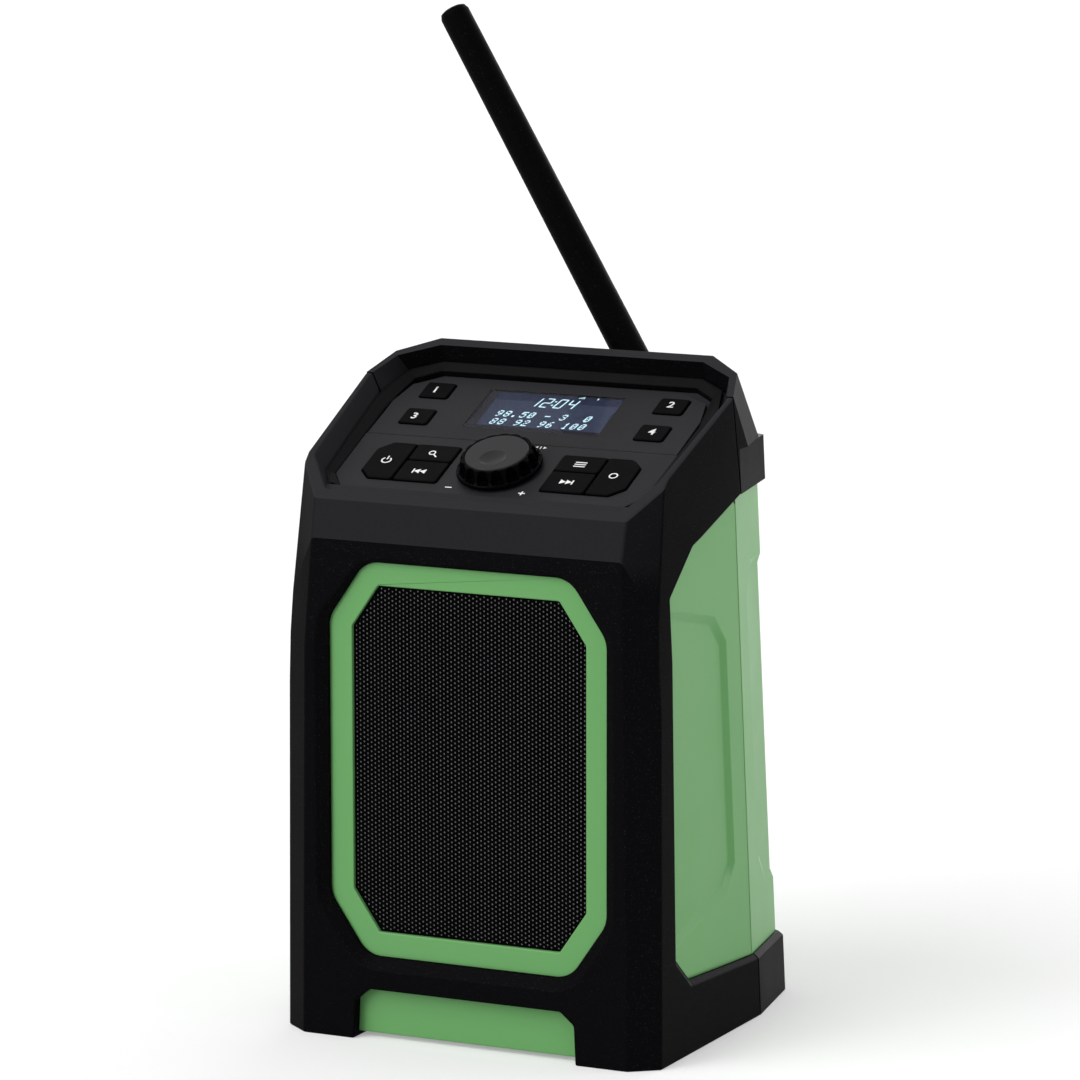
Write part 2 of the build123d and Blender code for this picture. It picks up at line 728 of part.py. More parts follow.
def speaker_screws():
    screws = []
    for angle in range(45, 360, 90):
        x = speaker_screw_circle() * math.cos(math.radians(angle))
        z = speaker_height + speaker_screw_circle() * math.sin(math.radians(angle))
        head_y = -(baffle_back - gasket_thick - flange_thick)
        screws.append(rod((x, head_y, z), (0, 1, 0), 2.4, 1.6)
                      + rod((x, -baffle_back, z), (0, 1, 0), screw_radius - running_gap,
                            gasket_thick + flange_thick)
                      + rod((x, -baffle_back - 2.5, z), (0, 1, 0), screw_radius - running_gap, 2.5))
    return Compound([s.solid() for s in screws])


# ---- control tray ------------------------------------------------------------------------
def cluster_keys():
    """Outlines of the six function keys, by name, in (x, up the slope)."""
    cut_x, cut_u = cluster_cut
    half_gap = key_space / 2
    outer_key = [(cluster_split + half_gap, cluster_low), (cluster_out - cut_x, cluster_low),
                 (cluster_out, cluster_low + cut_u), (cluster_out, cluster_high - cut_u),
                 (cluster_out - cut_x, cluster_high), (cluster_split + half_gap, cluster_high)]
    high_key = [(cluster_in, cluster_row + half_gap), (cluster_split - half_gap, cluster_row + half_gap),
                (cluster_split - half_gap, cluster_high), (cluster_in, cluster_high)]
    low_key = [(cluster_in, cluster_low), (cluster_split - half_gap, cluster_low),
               (cluster_split - half_gap, cluster_row - half_gap), (cluster_in, cluster_row - half_gap)]
    left = {"power_key": outer_key, "scan_key": high_key, "previous_key": low_key}
    right = {"mode_key": outer_key, "menu_key": high_key, "next_key": low_key}
    faces = {name: polygon([(-x, u) for x, u in points]) for name, points in left.items()}
    faces.update({name: polygon(points) for name, points in right.items()})
    return faces


def cluster_openings():
    """Openings in the key panel, one for each group of three keys."""
    cut_x, cut_u = cluster_cut
    points = [(cluster_in, cluster_low), (cluster_out - cut_x, cluster_low),
              (cluster_out, cluster_low + cut_u), (cluster_out, cluster_high - cut_u),
              (cluster_out - cut_x, cluster_high), (cluster_in, cluster_high)]
    return slab(grown(rounded(polygon(points)), key_gap), panel, -panel_thick - 1, 1)


def preset_keys():
    faces = {}
    for number, (side, row) in enumerate([(-1, 0), (1, 0), (-1, 1), (1, 1)], start=1):
        faces[f"preset_key_{number}"] = Pos(side * preset_x, preset_u[row]) * Rectangle(*preset_size)
    return faces


def rounded(face):
    return fillet(face.vertices(), key_round)


presets = preset_keys()
functions = cluster_keys()


def key(name):
    """Key cap with a chamfered top and a retaining flange under the plate."""
    keys = {**presets, **functions}
    face = keys.pop(name)
    cap = slab(rounded(face), panel, -panel_thick - moving_gap, key_proud)
    top = cap.faces().sort_by(Axis(panel.origin, panel.z_dir))[-1]
    cap = chamfer(top.edges(), 0.4)
    rim = grown(face, key_flange)
    for other in keys.values():
        rim -= grown(other, key_flange)
    flange = slab(rim, panel, -panel_thick - moving_gap - 0.7, -panel_thick - moving_gap)
    centre = face.center()
    stem = slab(Pos(centre.X, centre.Y) * Circle(1.6), panel, -board_depth + 3.9,
                -panel_thick - moving_gap)
    return cap + flange + stem


def posts(places):
    shape = None
    for x, u in places:
        post = slab(Pos(x, u) * (Circle(post_radius) - Circle(screw_radius - running_gap)), panel,
                    -board_depth, -panel_thick)
        shape = post if shape is None else shape + post
    return shape


display_posts = [(-36.5, 17.5), (36.5, 17.5)]
key_posts = [(post_in - half_width, -44.0), (half_width - post_in, -44.0)]


def display_window_face(grow=0.0):
    return Pos(0, (window_low_u + window_high_u) / 2) * Rectangle(
        2 * (window_half + grow), window_high_u - window_low_u + 2 * grow)


def display_plate():
    points = [(display_edge[0][0], panel_split + fit_gap)] + display_edge
    plate = slab(both_sides(points), panel, -panel_thick, 0)
    plate -= slab(display_window_face(), panel, -window_thick, 1)
    plate -= slab(display_window_face(-1.5), panel, -panel_thick - 1, 1)
    for face in presets.values():
        plate -= slab(grown(rounded(face), key_gap), panel, -panel_thick - 1, 1)
    return plate + posts(display_posts)


def key_panel():
    low, corner = panel_edge[0], panel_edge[1]
    split_corner = (corner[0] + 0.8, panel_split - fit_gap)
    plate = slab(both_sides([low, corner, split_corner]), panel, -panel_thick, 0)
    opening = cluster_openings()
    plate -= opening + mirror(opening, about=Plane.YZ)
    plate -= slab(Pos(0, knob_u) * Circle(bushing_radius + fit_gap), panel, -panel_thick - 1, 1)
    return plate + posts(key_posts)


def panel_bezel():
    """Sloped strip between the foot of the rim and the control panel."""
    strip = slab(grown(both_sides(tray_foot), -fit_gap - 0.9), panel, 0, bezel_rise)
    width = tray_foot[2][0] - panel_edge[2][0]
    taper = math.degrees(math.atan(width / (bezel_rise - bezel_lip)))
    opening = panel.offset(bezel_lip) * grown(both_sides(panel_edge), fit_gap)
    strip -= extrude(opening, amount=bezel_rise, taper=-taper * 0.86)
    strip -= slab(grown(both_sides(panel_edge), fit_gap), panel, -1, 2 * bezel_lip)
    shelf = slab(Pos(0, panel_edge[0][1] - 20) * Rectangle(200, 40 + 2 * fit_gap), panel, -1, 9)
    return strip - shelf


def display_window():
    return slab(display_window_face(-fit_gap), panel, -window_thick, -fit_gap)


def display_glass():
    return slab(display_window_face(2.0), panel, -panel_thick - 0.1 - 1.8, -panel_thick - 0.1)


def display_backlight():
    top = -panel_thick - 0.1 - 1.8
    frame = slab(display_window_face(2.0), panel, -board_depth, top)
    return frame - slab(display_window_face(-2.0), panel, -board_depth + 1.2, top - 0.8)


def control_board():
    board = slab(both_sides(board_edge), panel, -board_depth - board_thick, -board_depth)
    for x, u in display_posts + key_posts:
        board -= slab(Pos(x, u) * Circle(screw_radius + fit_gap), panel, -board_depth - 5, 0)
    return board


def board_screws():
    screws = []
    low = -board_depth - board_thick
    for x, u in display_posts + key_posts:
        head = slab(Pos(x, u) * Circle(2.4), panel, low - 1.5, low)
        shank = slab(Pos(x, u) * Circle(screw_radius - 2 * running_gap), panel, low, low + 5)
        screws.append((head + shank).solid())
    return Compound(screws)


def key_switches():
    switches = []
    for face in list(presets.values()) + list(functions.values()):
        centre = face.center()
        body = slab(Pos(centre.X, centre.Y) * Rectangle(6, 6), panel, -board_depth, -board_depth + 2.2)
        button = slab(Pos(centre.X, centre.Y) * Circle(1.6), panel, -board_depth + 2.2,
                      -board_depth + 2.9)
        switches.append((body + button).solid())
    return Compound(switches)


# ---- knob --------------------------------------------------------------------------------
knob_plane = panel * Pos(0, knob_u, 0)
encoder_top = -panel_thick - 0.2


def rotary_encoder():
    plane = Plane(knob_plane)
    body = extrude(plane.offset(-board_depth) * Rectangle(12, 12), amount=encoder_top + board_depth)
    bushing = extrude(plane.offset(encoder_top) * Circle(bushing_radius), amount=-encoder_top + bushing_reach)
    bore = extrude(plane.offset(-board_depth + 1.2) * Circle(shaft_radius - 0.4 + running_gap), amount=20)
    return body + bushing - bore


def encoder_nut():
    plane = Plane(knob_plane)
    return (extrude(plane * RegularPolygon(5.5, 6), amount=1.8)
            - extrude(plane * Circle(bushing_radius + fit_gap), amount=1.8))


def encoder_plunger():
    plane = Plane(knob_plane)
    low = -board_depth + 1.2 + knob_push + 0.1
    return extrude(plane.offset(low) * Circle(shaft_radius - 0.4 - running_gap), amount=1.5)


def encoder_shaft():
    plane = Plane(knob_plane)
    low = -board_depth + 1.2 + knob_push + 0.1 + 1.5 + running_gap
    top = knob_lift + knob_height - 2.2
    slim = shaft_radius - 0.4
    shaft = extrude(plane.offset(low) * Circle(slim), amount=2.8 - low)
    head = extrude(plane.offset(2.8) * Circle(shaft_radius), amount=top - 2.8)
    flat = extrude(plane.offset(4.2) * Pos(0, shaft_radius + 1.5) * Rectangle(9, 6), amount=9)
    return shaft + head - flat


def knob():
    """Scalloped grip over a flared skirt, hollow below, with a hub on the shaft's flat."""
    plane = Plane(knob_plane)
    low = knob_lift
    top = knob_lift + knob_height
    grip = knob_grip_radius
    body = turned(plane, [(5.2, low + 1.8), (5.2, top - 3.6), (grip - 2.4, top - 3.6),
                          (knob_radius - 2.2, low), (knob_radius - 0.4, low), (knob_radius, low + 0.5),
                          (knob_radius - 0.3, low + 1.6), (grip + 1.5, low + 2.4),
                          (grip + 0.3, top - 1.0), (grip - 0.3, top), (knob_cap_radius, top),
                          (knob_cap_radius, top - 1.6), (0, top - 1.6), (0, low + 1.8)])
    bore = extrude(plane.offset(low) * Circle(shaft_radius + running_gap), amount=knob_height - 2.2)
    flat = extrude(plane.offset(4.2) * Pos(0, shaft_radius + 1.55) * Rectangle(9, 6), amount=4)
    body -= bore - flat
    scallop = Pos(grip + 0.3 - scallop_depth + scallop_radius, 0) * Circle(scallop_radius)
    for index in range(scallop_count):
        turn = Rot(0, 0, index * 360 / scallop_count)
        body -= extrude(plane.offset(low + 1.9) * turn * scallop, amount=knob_height)
    return body


def knob_cap():
    """Satin disc with a finger dimple."""
    plane = Plane(knob_plane)
    top = knob_lift + knob_height
    disc = extrude(plane.offset(top - 1.6) * Circle(knob_cap_radius - fit_gap), amount=1.7)
    disc = chamfer(disc.edges().filter_by(GeomType.CIRCLE).sort_by(Axis(plane.origin, plane.z_dir))[-1], 0.4)
    dimple = plane.offset(top + dimple_radius - 1.2) * Pos(0, -dimple_offset) * Sphere(dimple_radius)
    return disc - dimple


# ---- inside the case ---------------------------------------------------------------------
def battery_box():
    """Open tray for the cells, up to the inside of the rear cover, with a seat for the door."""
    top = -(wall - waist_depth) - fit_gap
    seat = -door_thick - moving_gap
    outer_face = Rectangle(2 * (bay_half + bay_wall), 2 * (bay_rise + bay_wall))
    inner_face = Rectangle(2 * (bay_half - bay_seat), 2 * (bay_rise - bay_seat))
    body = slab(outer_face, back, -bay_depth - bay_wall, top)
    body -= slab(inner_face, back, -bay_depth, top + 1)
    body -= slab(Rectangle(2 * bay_half, 2 * bay_rise), back, seat, top + 1)
    body -= slab(Pos(0, -bay_rise) * Rectangle(2 * bay_half, 14), back, -door_thick - 1.5, top + 1)
    body -= slab(grown(hinge_cheeks(), fit_gap), back, -cheek_depth - fit_gap, top + 1)
    rib = slab(Rectangle(rib_thick, 2 * (bay_rise - bay_seat)), back, -bay_depth, -bay_depth + 14)
    return body + rib


def hinge_cheeks():
    """Outline of the blocks in the rear cover that hold the door's pins."""
    return Pos(0, -bay_rise + 3) * Rectangle(2 * bay_half + 12, 7)


cell_columns = (-cell_radius - rib_thick, cell_radius + rib_thick)
cell_level = -bay_depth + cell_radius + moving_gap


def battery_cells():
    cells = []
    for x in cell_columns:
        for end in (-1, 1):
            low = -cell_length - running_gap if end < 0 else running_gap
            start = back.from_local_coords((x, low, cell_level))
            body = rod(start, back.y_dir, cell_radius, cell_length - 1.2)
            nub = rod(back.from_local_coords((x, low + cell_length - 1.2, cell_level)), back.y_dir, 4.5, 1.2)
            cells.append((body + nub).solid())
    return Compound(cells)


def battery_springs():
    """Coiled contacts at the lower end of each column."""
    springs = []
    low = -bay_rise + bay_seat + plate_thick
    space = -cell_length - running_gap - low
    for x in cell_columns:
        start = back.from_local_coords((x, low + running_gap + wire_radius, cell_level))
        turns = Helix(pitch=1.3, height=space - 2 * wire_radius - 2 * running_gap, radius=4.6)
        path = Plane(origin=start, x_dir=back.x_dir, z_dir=back.y_dir) * turns
        wire = sweep(Plane(origin=path @ 0, z_dir=path % 0) * RegularPolygon(wire_radius, 6), path=path)
        springs.append(wire.solid())
    return Compound(springs)


def contact_plates():
    """Spring steel plates at both ends of the battery bay."""
    plates = []
    for x in cell_columns:
        for low in (-bay_rise + bay_seat, bay_rise - bay_seat - plate_thick):
            centre = back.from_local_coords((x, low, cell_level))
            plane = Plane(origin=centre, x_dir=back.x_dir, z_dir=back.y_dir)
            plates.append(extrude(plane * Rectangle(22, 22), amount=plate_thick).solid())
    return Compound(plates)


def battery_door():
    """Door with barrel, pins and a thumb notch at its top edge."""
    door = hinged_plate(back, 0, bay_half, bay_rise, door_thick, 6)
    notch = slab(Pos(0, bay_rise - 4) * SlotOverall(24, 8), back, -0.9, 1)
    return door - notch + hinge_pin(back, 0, bay_half, bay_rise, door_thick, 0.8, 3.0)


def socket_flap():
    flap = hinged_plate(socket_back, socket_x, socket_half, socket_rise, flap_thick, 2)
    tab = slab(Pos(socket_x, socket_rise - 2.2) * SlotOverall(10, 2.0), socket_back, 0, 0.7)
    pin = hinge_pin(socket_back, socket_x, socket_half, socket_rise, flap_thick, 0.6, 1.4)
    return flap + tab + pin


def sockets():
    parts = {}
    floor = -socket_depth
    for name, (place, radius) in zip(("supply_socket", "line_socket"), socket_holes()):
        barrel = slab(Pos(*place) * Circle(radius), socket_back, floor - wall - 1, floor)
        block = slab(Pos(*place) * Rectangle(2 * radius + 3, 2 * radius + 2), socket_back,
                     floor - wall - 12, floor - wall - 0.05)
        bore = slab(Pos(*place) * Circle(radius - 1.2), socket_back, floor - wall - 8, floor + 1)
        parts[name] = barrel + block - bore
    tip = slab(Pos(*socket_holes()[0][0]) * Circle(1.0), socket_back, floor - wall - 9, floor - 1)
    parts["supply_socket"] += tip
    return parts


def socket_board():
    low = -socket_depth - wall - 12
    return slab(Pos(socket_x, 0) * Rectangle(40, 22), socket_back, low - board_thick, low)


board_face = -bay_depth - bay_wall - 6


def main_board():
    """Upright board on the front of the battery box, held by four pillars."""
    board = slab(Pos(0, 8) * Rectangle(96, 92), back, board_face - board_thick, board_face)
    for x in (-30, 30):
        for v in (-30, 46):
            board += slab(Pos(x, v) * Circle(3), back, board_face, -bay_depth - bay_wall)
    return board


def board_parts():
    """Larger components on the main board, as one group."""
    low = board_face - board_thick
    chips = [((-22, 20), (20, 20), 2.0), ((18, -14), (14, 14), 1.6), ((30, 40), (18, 10), 9.0),
             ((-34, -20), (10, 24), 8.0)]
    return Compound([slab(Pos(*place) * Rectangle(*size), back, low - high, low).solid()
                     for place, size, high in chips])


def tuner_module():
    low = board_face - board_thick
    can = slab(Pos(12, 18) * Rectangle(26, 20), back, low - 4, low)
    return can - slab(Pos(12, 18) * Rectangle(25, 19), back, low - 3.5, low + 1)


# ---- aerial ------------------------------------------------------------------------------
lean = math.radians(aerial_lean)
aerial_axis = Vector(-math.sin(lean), 0, math.cos(lean))
pivot = Vector(aerial_x, aerial_y, aerial_height)
knuckle_front = aerial_y - aerial_base_radius


def aerial_knuckle():
    """Moulded eye with a short socket that the rubber rod is bonded over."""
    eye = rod((aerial_x, knuckle_front, aerial_height), (0, 1, 0), knuckle_radius, 2 * aerial_base_radius)
    stub = rod(pivot, aerial_axis, aerial_base_radius - 2.3, knuckle_radius + 14)
    collar = rod(pivot, aerial_axis, aerial_base_radius, knuckle_radius + 1.5)
    body = eye + collar + stub
    body -= rod((aerial_x, 0, aerial_height), (0, 1, 0), pivot_radius + running_gap, 2 * aerial_y)
    return body - rod((aerial_x, aerial_y + aerial_base_radius - 1.6, aerial_height), (0, 1, 0), 4.4, 9)


def aerial_rod():
    start = pivot + aerial_axis * (knuckle_radius + 1.6)
    length = aerial_reach - knuckle_radius - 1.6
    plane = Plane(origin=start, x_dir=(0, 1, 0), z_dir=aerial_axis)
    inner = aerial_base_radius - 2.3 + fit_gap
    points = [(inner, 0), (aerial_base_radius, 0), (aerial_tip_radius, length - 3),
              (aerial_tip_radius - 0.9, length - 0.8), (aerial_tip_radius - 2.8, length), (0, length),
              (0, 14.6), (inner, 14.6)]
    return turned(plane, points)


def aerial_pivot():
    """Shouldered screw through the knuckle into the boss."""
    head_y = aerial_y + aerial_base_radius - 1.6
    shank = rod((aerial_x, rim_rear + 14, aerial_height), (0, 1, 0), pivot_radius, head_y - rim_rear - 14)
    head = rod((aerial_x, head_y, aerial_height), (0, 1, 0), 4.2, 1.5)
    slot = Pos(aerial_x, head_y + 1.5, aerial_height) * Box(0.9, 1.4, 12)
    return shank + head - slot


def case_screws():
    screws = []
    for x, z in case_screw_points():
        seat = screw_seat(z)
        head = rod((x, seat, z), (0, 1, 0), screw_head_radius, screw_head)
        shank = rod((x, parting_y(z) - 14, z), (0, 1, 0), case_screw_radius, seat - parting_y(z) + 14)
        screws.append((head + shank).solid())
    return Compound(screws)


# ---- write every piece ---------------------------------------------------------------------
save("front_frame", front_frame())
save("top_rear_bumper", top_rear_bumper())
save("bottom_rear_bumper", bottom_rear_bumper())
save("front_cabinet", front_cabinet())
save("rear_cover", rear_cover())
save("grille", grille())
save("grille_cloth", grille_cloth())
save("speaker_baffle", baffle())
save("speaker_gasket", speaker_gasket())
save("speaker_basket", speaker_basket())
save("speaker_cone", speaker_cone())
save("speaker_surround", speaker_surround())
save("dust_cap", dust_cap())
save("speaker_magnet", speaker_magnet())
save("speaker_screws", speaker_screws())
save("display_plate", display_plate())
save("key_panel", key_panel())
save("panel_bezel", panel_bezel())
save("display_window", display_window())
save("display_glass", display_glass())
save("display_backlight", display_backlight())
for name in [*presets, *functions]:
    save(name, key(name))
save("control_board", control_board())
save("board_screws", board_screws())
save("key_switches", key_switches())
save("rotary_encoder", rotary_encoder())
save("encoder_nut", encoder_nut())
save("encoder_plunger", encoder_plunger())
save("encoder_shaft", encoder_shaft())
save("knob", knob())
save("knob_cap", knob_cap())
save("battery_box", battery_box())
save("battery_cells", battery_cells())
save("battery_springs", battery_springs())
save("contact_plates", contact_plates())
save("battery_door", battery_door())
save("socket_flap", socket_flap())
for name, shape in sockets().items():
    save(name, shape)
save("socket_board", socket_board())
save("main_board", main_board())
save("board_parts", board_parts())
save("tuner_module", tuner_module())
save("aerial_knuckle", aerial_knuckle())
save("aerial_rod", aerial_rod())
save("aerial_pivot", aerial_pivot())
save("case_screws", case_screws())
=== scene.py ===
import json
import math
import bmesh
import bpy
from mathutils import Matrix, Quaternion, Vector

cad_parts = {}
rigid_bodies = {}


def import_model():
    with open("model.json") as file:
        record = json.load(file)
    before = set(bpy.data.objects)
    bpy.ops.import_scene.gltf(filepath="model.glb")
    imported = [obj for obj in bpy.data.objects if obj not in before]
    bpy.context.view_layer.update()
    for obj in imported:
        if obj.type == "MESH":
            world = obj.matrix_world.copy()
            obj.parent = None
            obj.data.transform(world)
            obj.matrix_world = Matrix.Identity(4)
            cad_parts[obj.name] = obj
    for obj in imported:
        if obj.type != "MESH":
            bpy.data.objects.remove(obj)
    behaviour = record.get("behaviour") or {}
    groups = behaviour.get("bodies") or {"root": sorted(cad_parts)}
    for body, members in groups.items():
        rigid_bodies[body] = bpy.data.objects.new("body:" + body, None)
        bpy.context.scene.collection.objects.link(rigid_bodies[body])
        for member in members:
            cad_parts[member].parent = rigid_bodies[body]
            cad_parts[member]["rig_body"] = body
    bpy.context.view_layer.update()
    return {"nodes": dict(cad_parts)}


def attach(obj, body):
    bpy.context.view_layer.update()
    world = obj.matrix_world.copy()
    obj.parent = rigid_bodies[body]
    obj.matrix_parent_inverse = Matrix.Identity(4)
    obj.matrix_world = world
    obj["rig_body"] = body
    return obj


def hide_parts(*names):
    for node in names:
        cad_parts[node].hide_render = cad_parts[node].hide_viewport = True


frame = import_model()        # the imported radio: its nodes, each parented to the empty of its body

nodes = frame["nodes"]
scene = bpy.context.scene
scene.view_settings.view_transform = "Standard"


# ---- camera --------------------------------------------------------------------------------
# The radio stands on a table and is seen from its right, a little from above, through a
# long lens.
camera_place = Vector((1.0212, -2.1147, 0.6117))
camera_target = Vector((-0.0012, -0.0020, 0.2023))
camera_roll = -0.09         # degrees
sensor_width = 36           # millimetres, as the lens
lens_length = 189.9

camera_data = bpy.data.cameras.new("camera")
camera_data.sensor_width = sensor_width
camera_data.lens = lens_length
camera = bpy.data.objects.new("camera", camera_data)
scene.collection.objects.link(camera)
camera.location = camera_place
camera.rotation_mode = "QUATERNION"
camera.rotation_quaternion = ((camera_target - camera_place).to_track_quat("-Z", "Y")
                              @ Quaternion((0, 0, 1), math.radians(camera_roll)))
scene.camera = camera


# ---- floor and light -----------------------------------------------------------------------
# A plain white studio floor that keeps the soft shadow, a pale sky, one wide key light from
# the front left, weak ones from above and low in front, and two low ones that brighten the
# side and the back.
floor_reach = 40
floor_color = 0.70
floor_lift = 0.30           # glow that is seen on the floor but lights nothing
sky_level = 0.46            # strength of the sky where it lights the radio


def new_material(name):
    """A node material, its node tree and its principled shader."""
    material = bpy.data.materials.new(name)
    material.use_nodes = True
    return material, material.node_tree, material.node_tree.nodes["Principled BSDF"]


def seen_strength(tree, lighting, seen, socket):
    """Drive a strength: one value where it lights, one where camera, gloss or glass see it."""
    rays = tree.nodes.new("ShaderNodeLightPath")
    camera_or_gloss, or_glass, level = [tree.nodes.new("ShaderNodeMath") for _ in range(3)]
    camera_or_gloss.operation = or_glass.operation = "MAXIMUM"
    level.operation = "MULTIPLY_ADD"
    level.inputs[1].default_value = seen - lighting
    level.inputs[2].default_value = lighting
    tree.links.new(rays.outputs["Is Camera Ray"], camera_or_gloss.inputs[0])
    tree.links.new(rays.outputs["Is Glossy Ray"], camera_or_gloss.inputs[1])
    tree.links.new(camera_or_gloss.outputs[0], or_glass.inputs[0])
    tree.links.new(rays.outputs["Is Transmission Ray"], or_glass.inputs[1])
    tree.links.new(or_glass.outputs[0], level.inputs[0])
    tree.links.new(level.outputs[0], socket)


bpy.ops.object.select_all(action="DESELECT")
bpy.ops.mesh.primitive_plane_add(size=floor_reach)
floor = bpy.context.active_object
floor.name = "floor"
floor_material, tree, shader = new_material("studio_floor")
shader.inputs["Base Color"].default_value = (floor_color, floor_color, floor_color, 1)
shader.inputs["Roughness"].default_value = 0.9
shader.inputs["Specular IOR Level"].default_value = 0.0
shader.inputs["Emission Color"].default_value = (1, 1, 1, 1)
seen_strength(tree, 0, floor_lift, shader.inputs["Emission Strength"])
floor.data.materials.append(floor_material)

world = bpy.data.worlds.new("studio_sky")
world.use_nodes = True
sky = world.node_tree.nodes["Background"]
sky.inputs["Color"].default_value = (1, 1, 1, 1)
seen_strength(world.node_tree, sky_level, 1, sky.inputs["Strength"])
scene.world = world


def sun(name, azimuth, elevation, strength, spread):
    """Wide soft light that shines from that direction. Azimuth 0 is the front, 90 the right."""
    light = bpy.data.lights.new(name, "SUN")
    light.energy = strength
    light.angle = math.radians(spread)
    lamp = bpy.data.objects.new(name, light)
    scene.collection.objects.link(lamp)
    turn, rise = math.radians(azimuth), math.radians(elevation)
    toward = Vector((math.sin(turn) * math.cos(rise), -math.cos(turn) * math.cos(rise),
                     math.sin(rise)))
    lamp.rotation_mode = "QUATERNION"
    lamp.rotation_quaternion = toward.to_track_quat("Z", "Y")


sun("key_light", azimuth=-34, elevation=38, strength=1.7, spread=50)
sun("top_light", azimuth=-20, elevation=80, strength=0.35, spread=70)
sun("front_light", azimuth=-28, elevation=15, strength=0.36, spread=16)
sun("side_light", azimuth=116, elevation=12, strength=0.75, spread=34)
sun("rear_light", azimuth=179, elevation=5, strength=2.5, spread=56)


# ---- black frame ---------------------------------------------------------------------------
# Three mouldings of black ABS wrap the case: the front frame with the tray rim and front
# feet, and the upper and lower rear bumpers. Their faces are spark eroded to a fine grain.
frame_black = (0.0034, 0.0032, 0.0038)
frame_glint = (0.020, 0.020, 0.022)
frame_painted_sheen = (0.027, 0.0265, 0.029)     # painted sheen: paler colour on the faces of the tray that look up, in place of the sky's reflection
painted_sheen_height = (0.198, 0.208)            # it starts above the grille opening
facing_up = (0.1, 0.3)      # upward part of a face's direction, from no painted sheen to all of it
merge_gap = 2e-6            # points closer than this are one
flat_turn = 0.8             # degrees; loose triangles that turn less are one face
crease_turn = 1.5           # degrees; a long edge that turns more stays crisp
crease_length = 0.014
edge_segments = 2           # faces across a rounded edge
glint_fade = 0.04           # from the plain colour to a whole painted glint


def add_node(tree, kind, inputs=(), **settings):
    """New node with its settings and its plain input values."""
    node = tree.nodes.new(kind)
    for name, value in settings.items():
        setattr(node, name, value)
    for name, value in dict(inputs).items():
        node.inputs[name].default_value = value
    return node


def plastic(name, color, roughness, specular=0.5, metallic=0.0):
    """Moulded or metal finish with one colour and one gloss."""
    material, tree, shader = new_material(name)
    shader.inputs["Base Color"].default_value = (*color, 1)
    shader.inputs["Roughness"].default_value = roughness
    shader.inputs["Specular IOR Level"].default_value = specular
    shader.inputs["Metallic"].default_value = metallic
    return material


def noise_on(tree, size, detail, stretch=(1, 1, 1)):
    """Noise over the piece's own coordinates, with features of that size in metres."""
    place = add_node(tree, "ShaderNodeTexCoord")
    scale = add_node(tree, "ShaderNodeMapping", {"Scale": stretch})
    noise = add_node(tree, "ShaderNodeTexNoise", {"Scale": 1 / size, "Detail": detail})
    tree.links.new(place.outputs["Object"], scale.inputs["Vector"])
    tree.links.new(scale.outputs["Vector"], noise.inputs["Vector"])
    return noise


def color_mix(tree, share, first, second):
    """From the first colour to the second as the share rises; each a colour or a link."""
    mix = add_node(tree, "ShaderNodeMix", data_type="RGBA")
    tree.links.new(share, mix.inputs[0])
    for socket, color in ((mix.inputs[6], first), (mix.inputs[7], second)):
        if isinstance(color, tuple):
            socket.default_value = (*color, 1)
        else:
            tree.links.new(color, socket)
    return mix.outputs[2]


def grain(material, size, depth, strength=1.0, stretch=(1, 1, 1)):
    """Fine moulded or brushed grain, as bump."""
    tree = material.node_tree
    noise = noise_on(tree, size, detail=2, stretch=stretch)
    bump = add_node(tree, "ShaderNodeBump", {"Distance": depth, "Strength": strength})
    tree.links.new(noise.outputs["Fac"], bump.inputs["Height"])
    tree.links.new(bump.outputs["Normal"], tree.nodes["Principled BSDF"].inputs["Normal"])
    return material


def gloss_drift(material, size, low, high):
    """Slow change of gloss over the surface, as wiped plastic has."""
    tree = material.node_tree
    noise = noise_on(tree, size, detail=3)
    spread = add_node(tree, "ShaderNodeMapRange", {"From Min": 0.3, "From Max": 0.7,
                                                   "To Min": low, "To Max": high})
    tree.links.new(noise.outputs["Fac"], spread.inputs["Value"])
    tree.links.new(spread.outputs["Result"], tree.nodes["Principled BSDF"].inputs["Roughness"])
    return material


def flecks(material, color, glint, size, share):
    """Painted glints: tiny pale points in the colour where the grain would catch light."""
    tree = material.node_tree
    noise = noise_on(tree, size, detail=1)
    mask = add_node(tree, "ShaderNodeMapRange", {"From Min": share,
                                                 "From Max": share + glint_fade})
    tree.links.new(noise.outputs["Fac"], mask.inputs["Value"])
    tree.links.new(color_mix(tree, mask.outputs["Result"], color, glint),
                   tree.nodes["Principled BSDF"].inputs["Base Color"])
    return material


def settled_dust(material, tone, heights):
    """Painted sheen: paler colour on faces that look up, above that height, where a reflection of
    the sky would lighten them.
    """
    tree = material.node_tree
    base = tree.nodes["Principled BSDF"].inputs["Base Color"]
    place = add_node(tree, "ShaderNodeTexCoord")
    rise = add_node(tree, "ShaderNodeSeparateXYZ")
    height = add_node(tree, "ShaderNodeSeparateXYZ")
    facing = add_node(tree, "ShaderNodeMapRange", {"From Min": facing_up[0],
                                                   "From Max": facing_up[1]})
    above = add_node(tree, "ShaderNodeMapRange", {"From Min": heights[0],
                                                  "From Max": heights[1]})
    share = add_node(tree, "ShaderNodeMath", operation="MULTIPLY")
    tree.links.new(place.outputs["Normal"], rise.inputs[0])
    tree.links.new(place.outputs["Object"], height.inputs[0])
    tree.links.new(rise.outputs["Z"], facing.inputs["Value"])
    tree.links.new(height.outputs["Z"], above.inputs["Value"])
    tree.links.new(facing.outputs["Result"], share.inputs[0])
    tree.links.new(above.outputs["Result"], share.inputs[1])
    tree.links.new(color_mix(tree, share.outputs[0], base.links[0].from_socket, tone), base)
    return material


def paint(piece, material):
    """Give a piece one material."""
    if piece.material_slots:
        for place in piece.material_slots:
            place.material = material
    else:
        piece.data.materials.append(material)


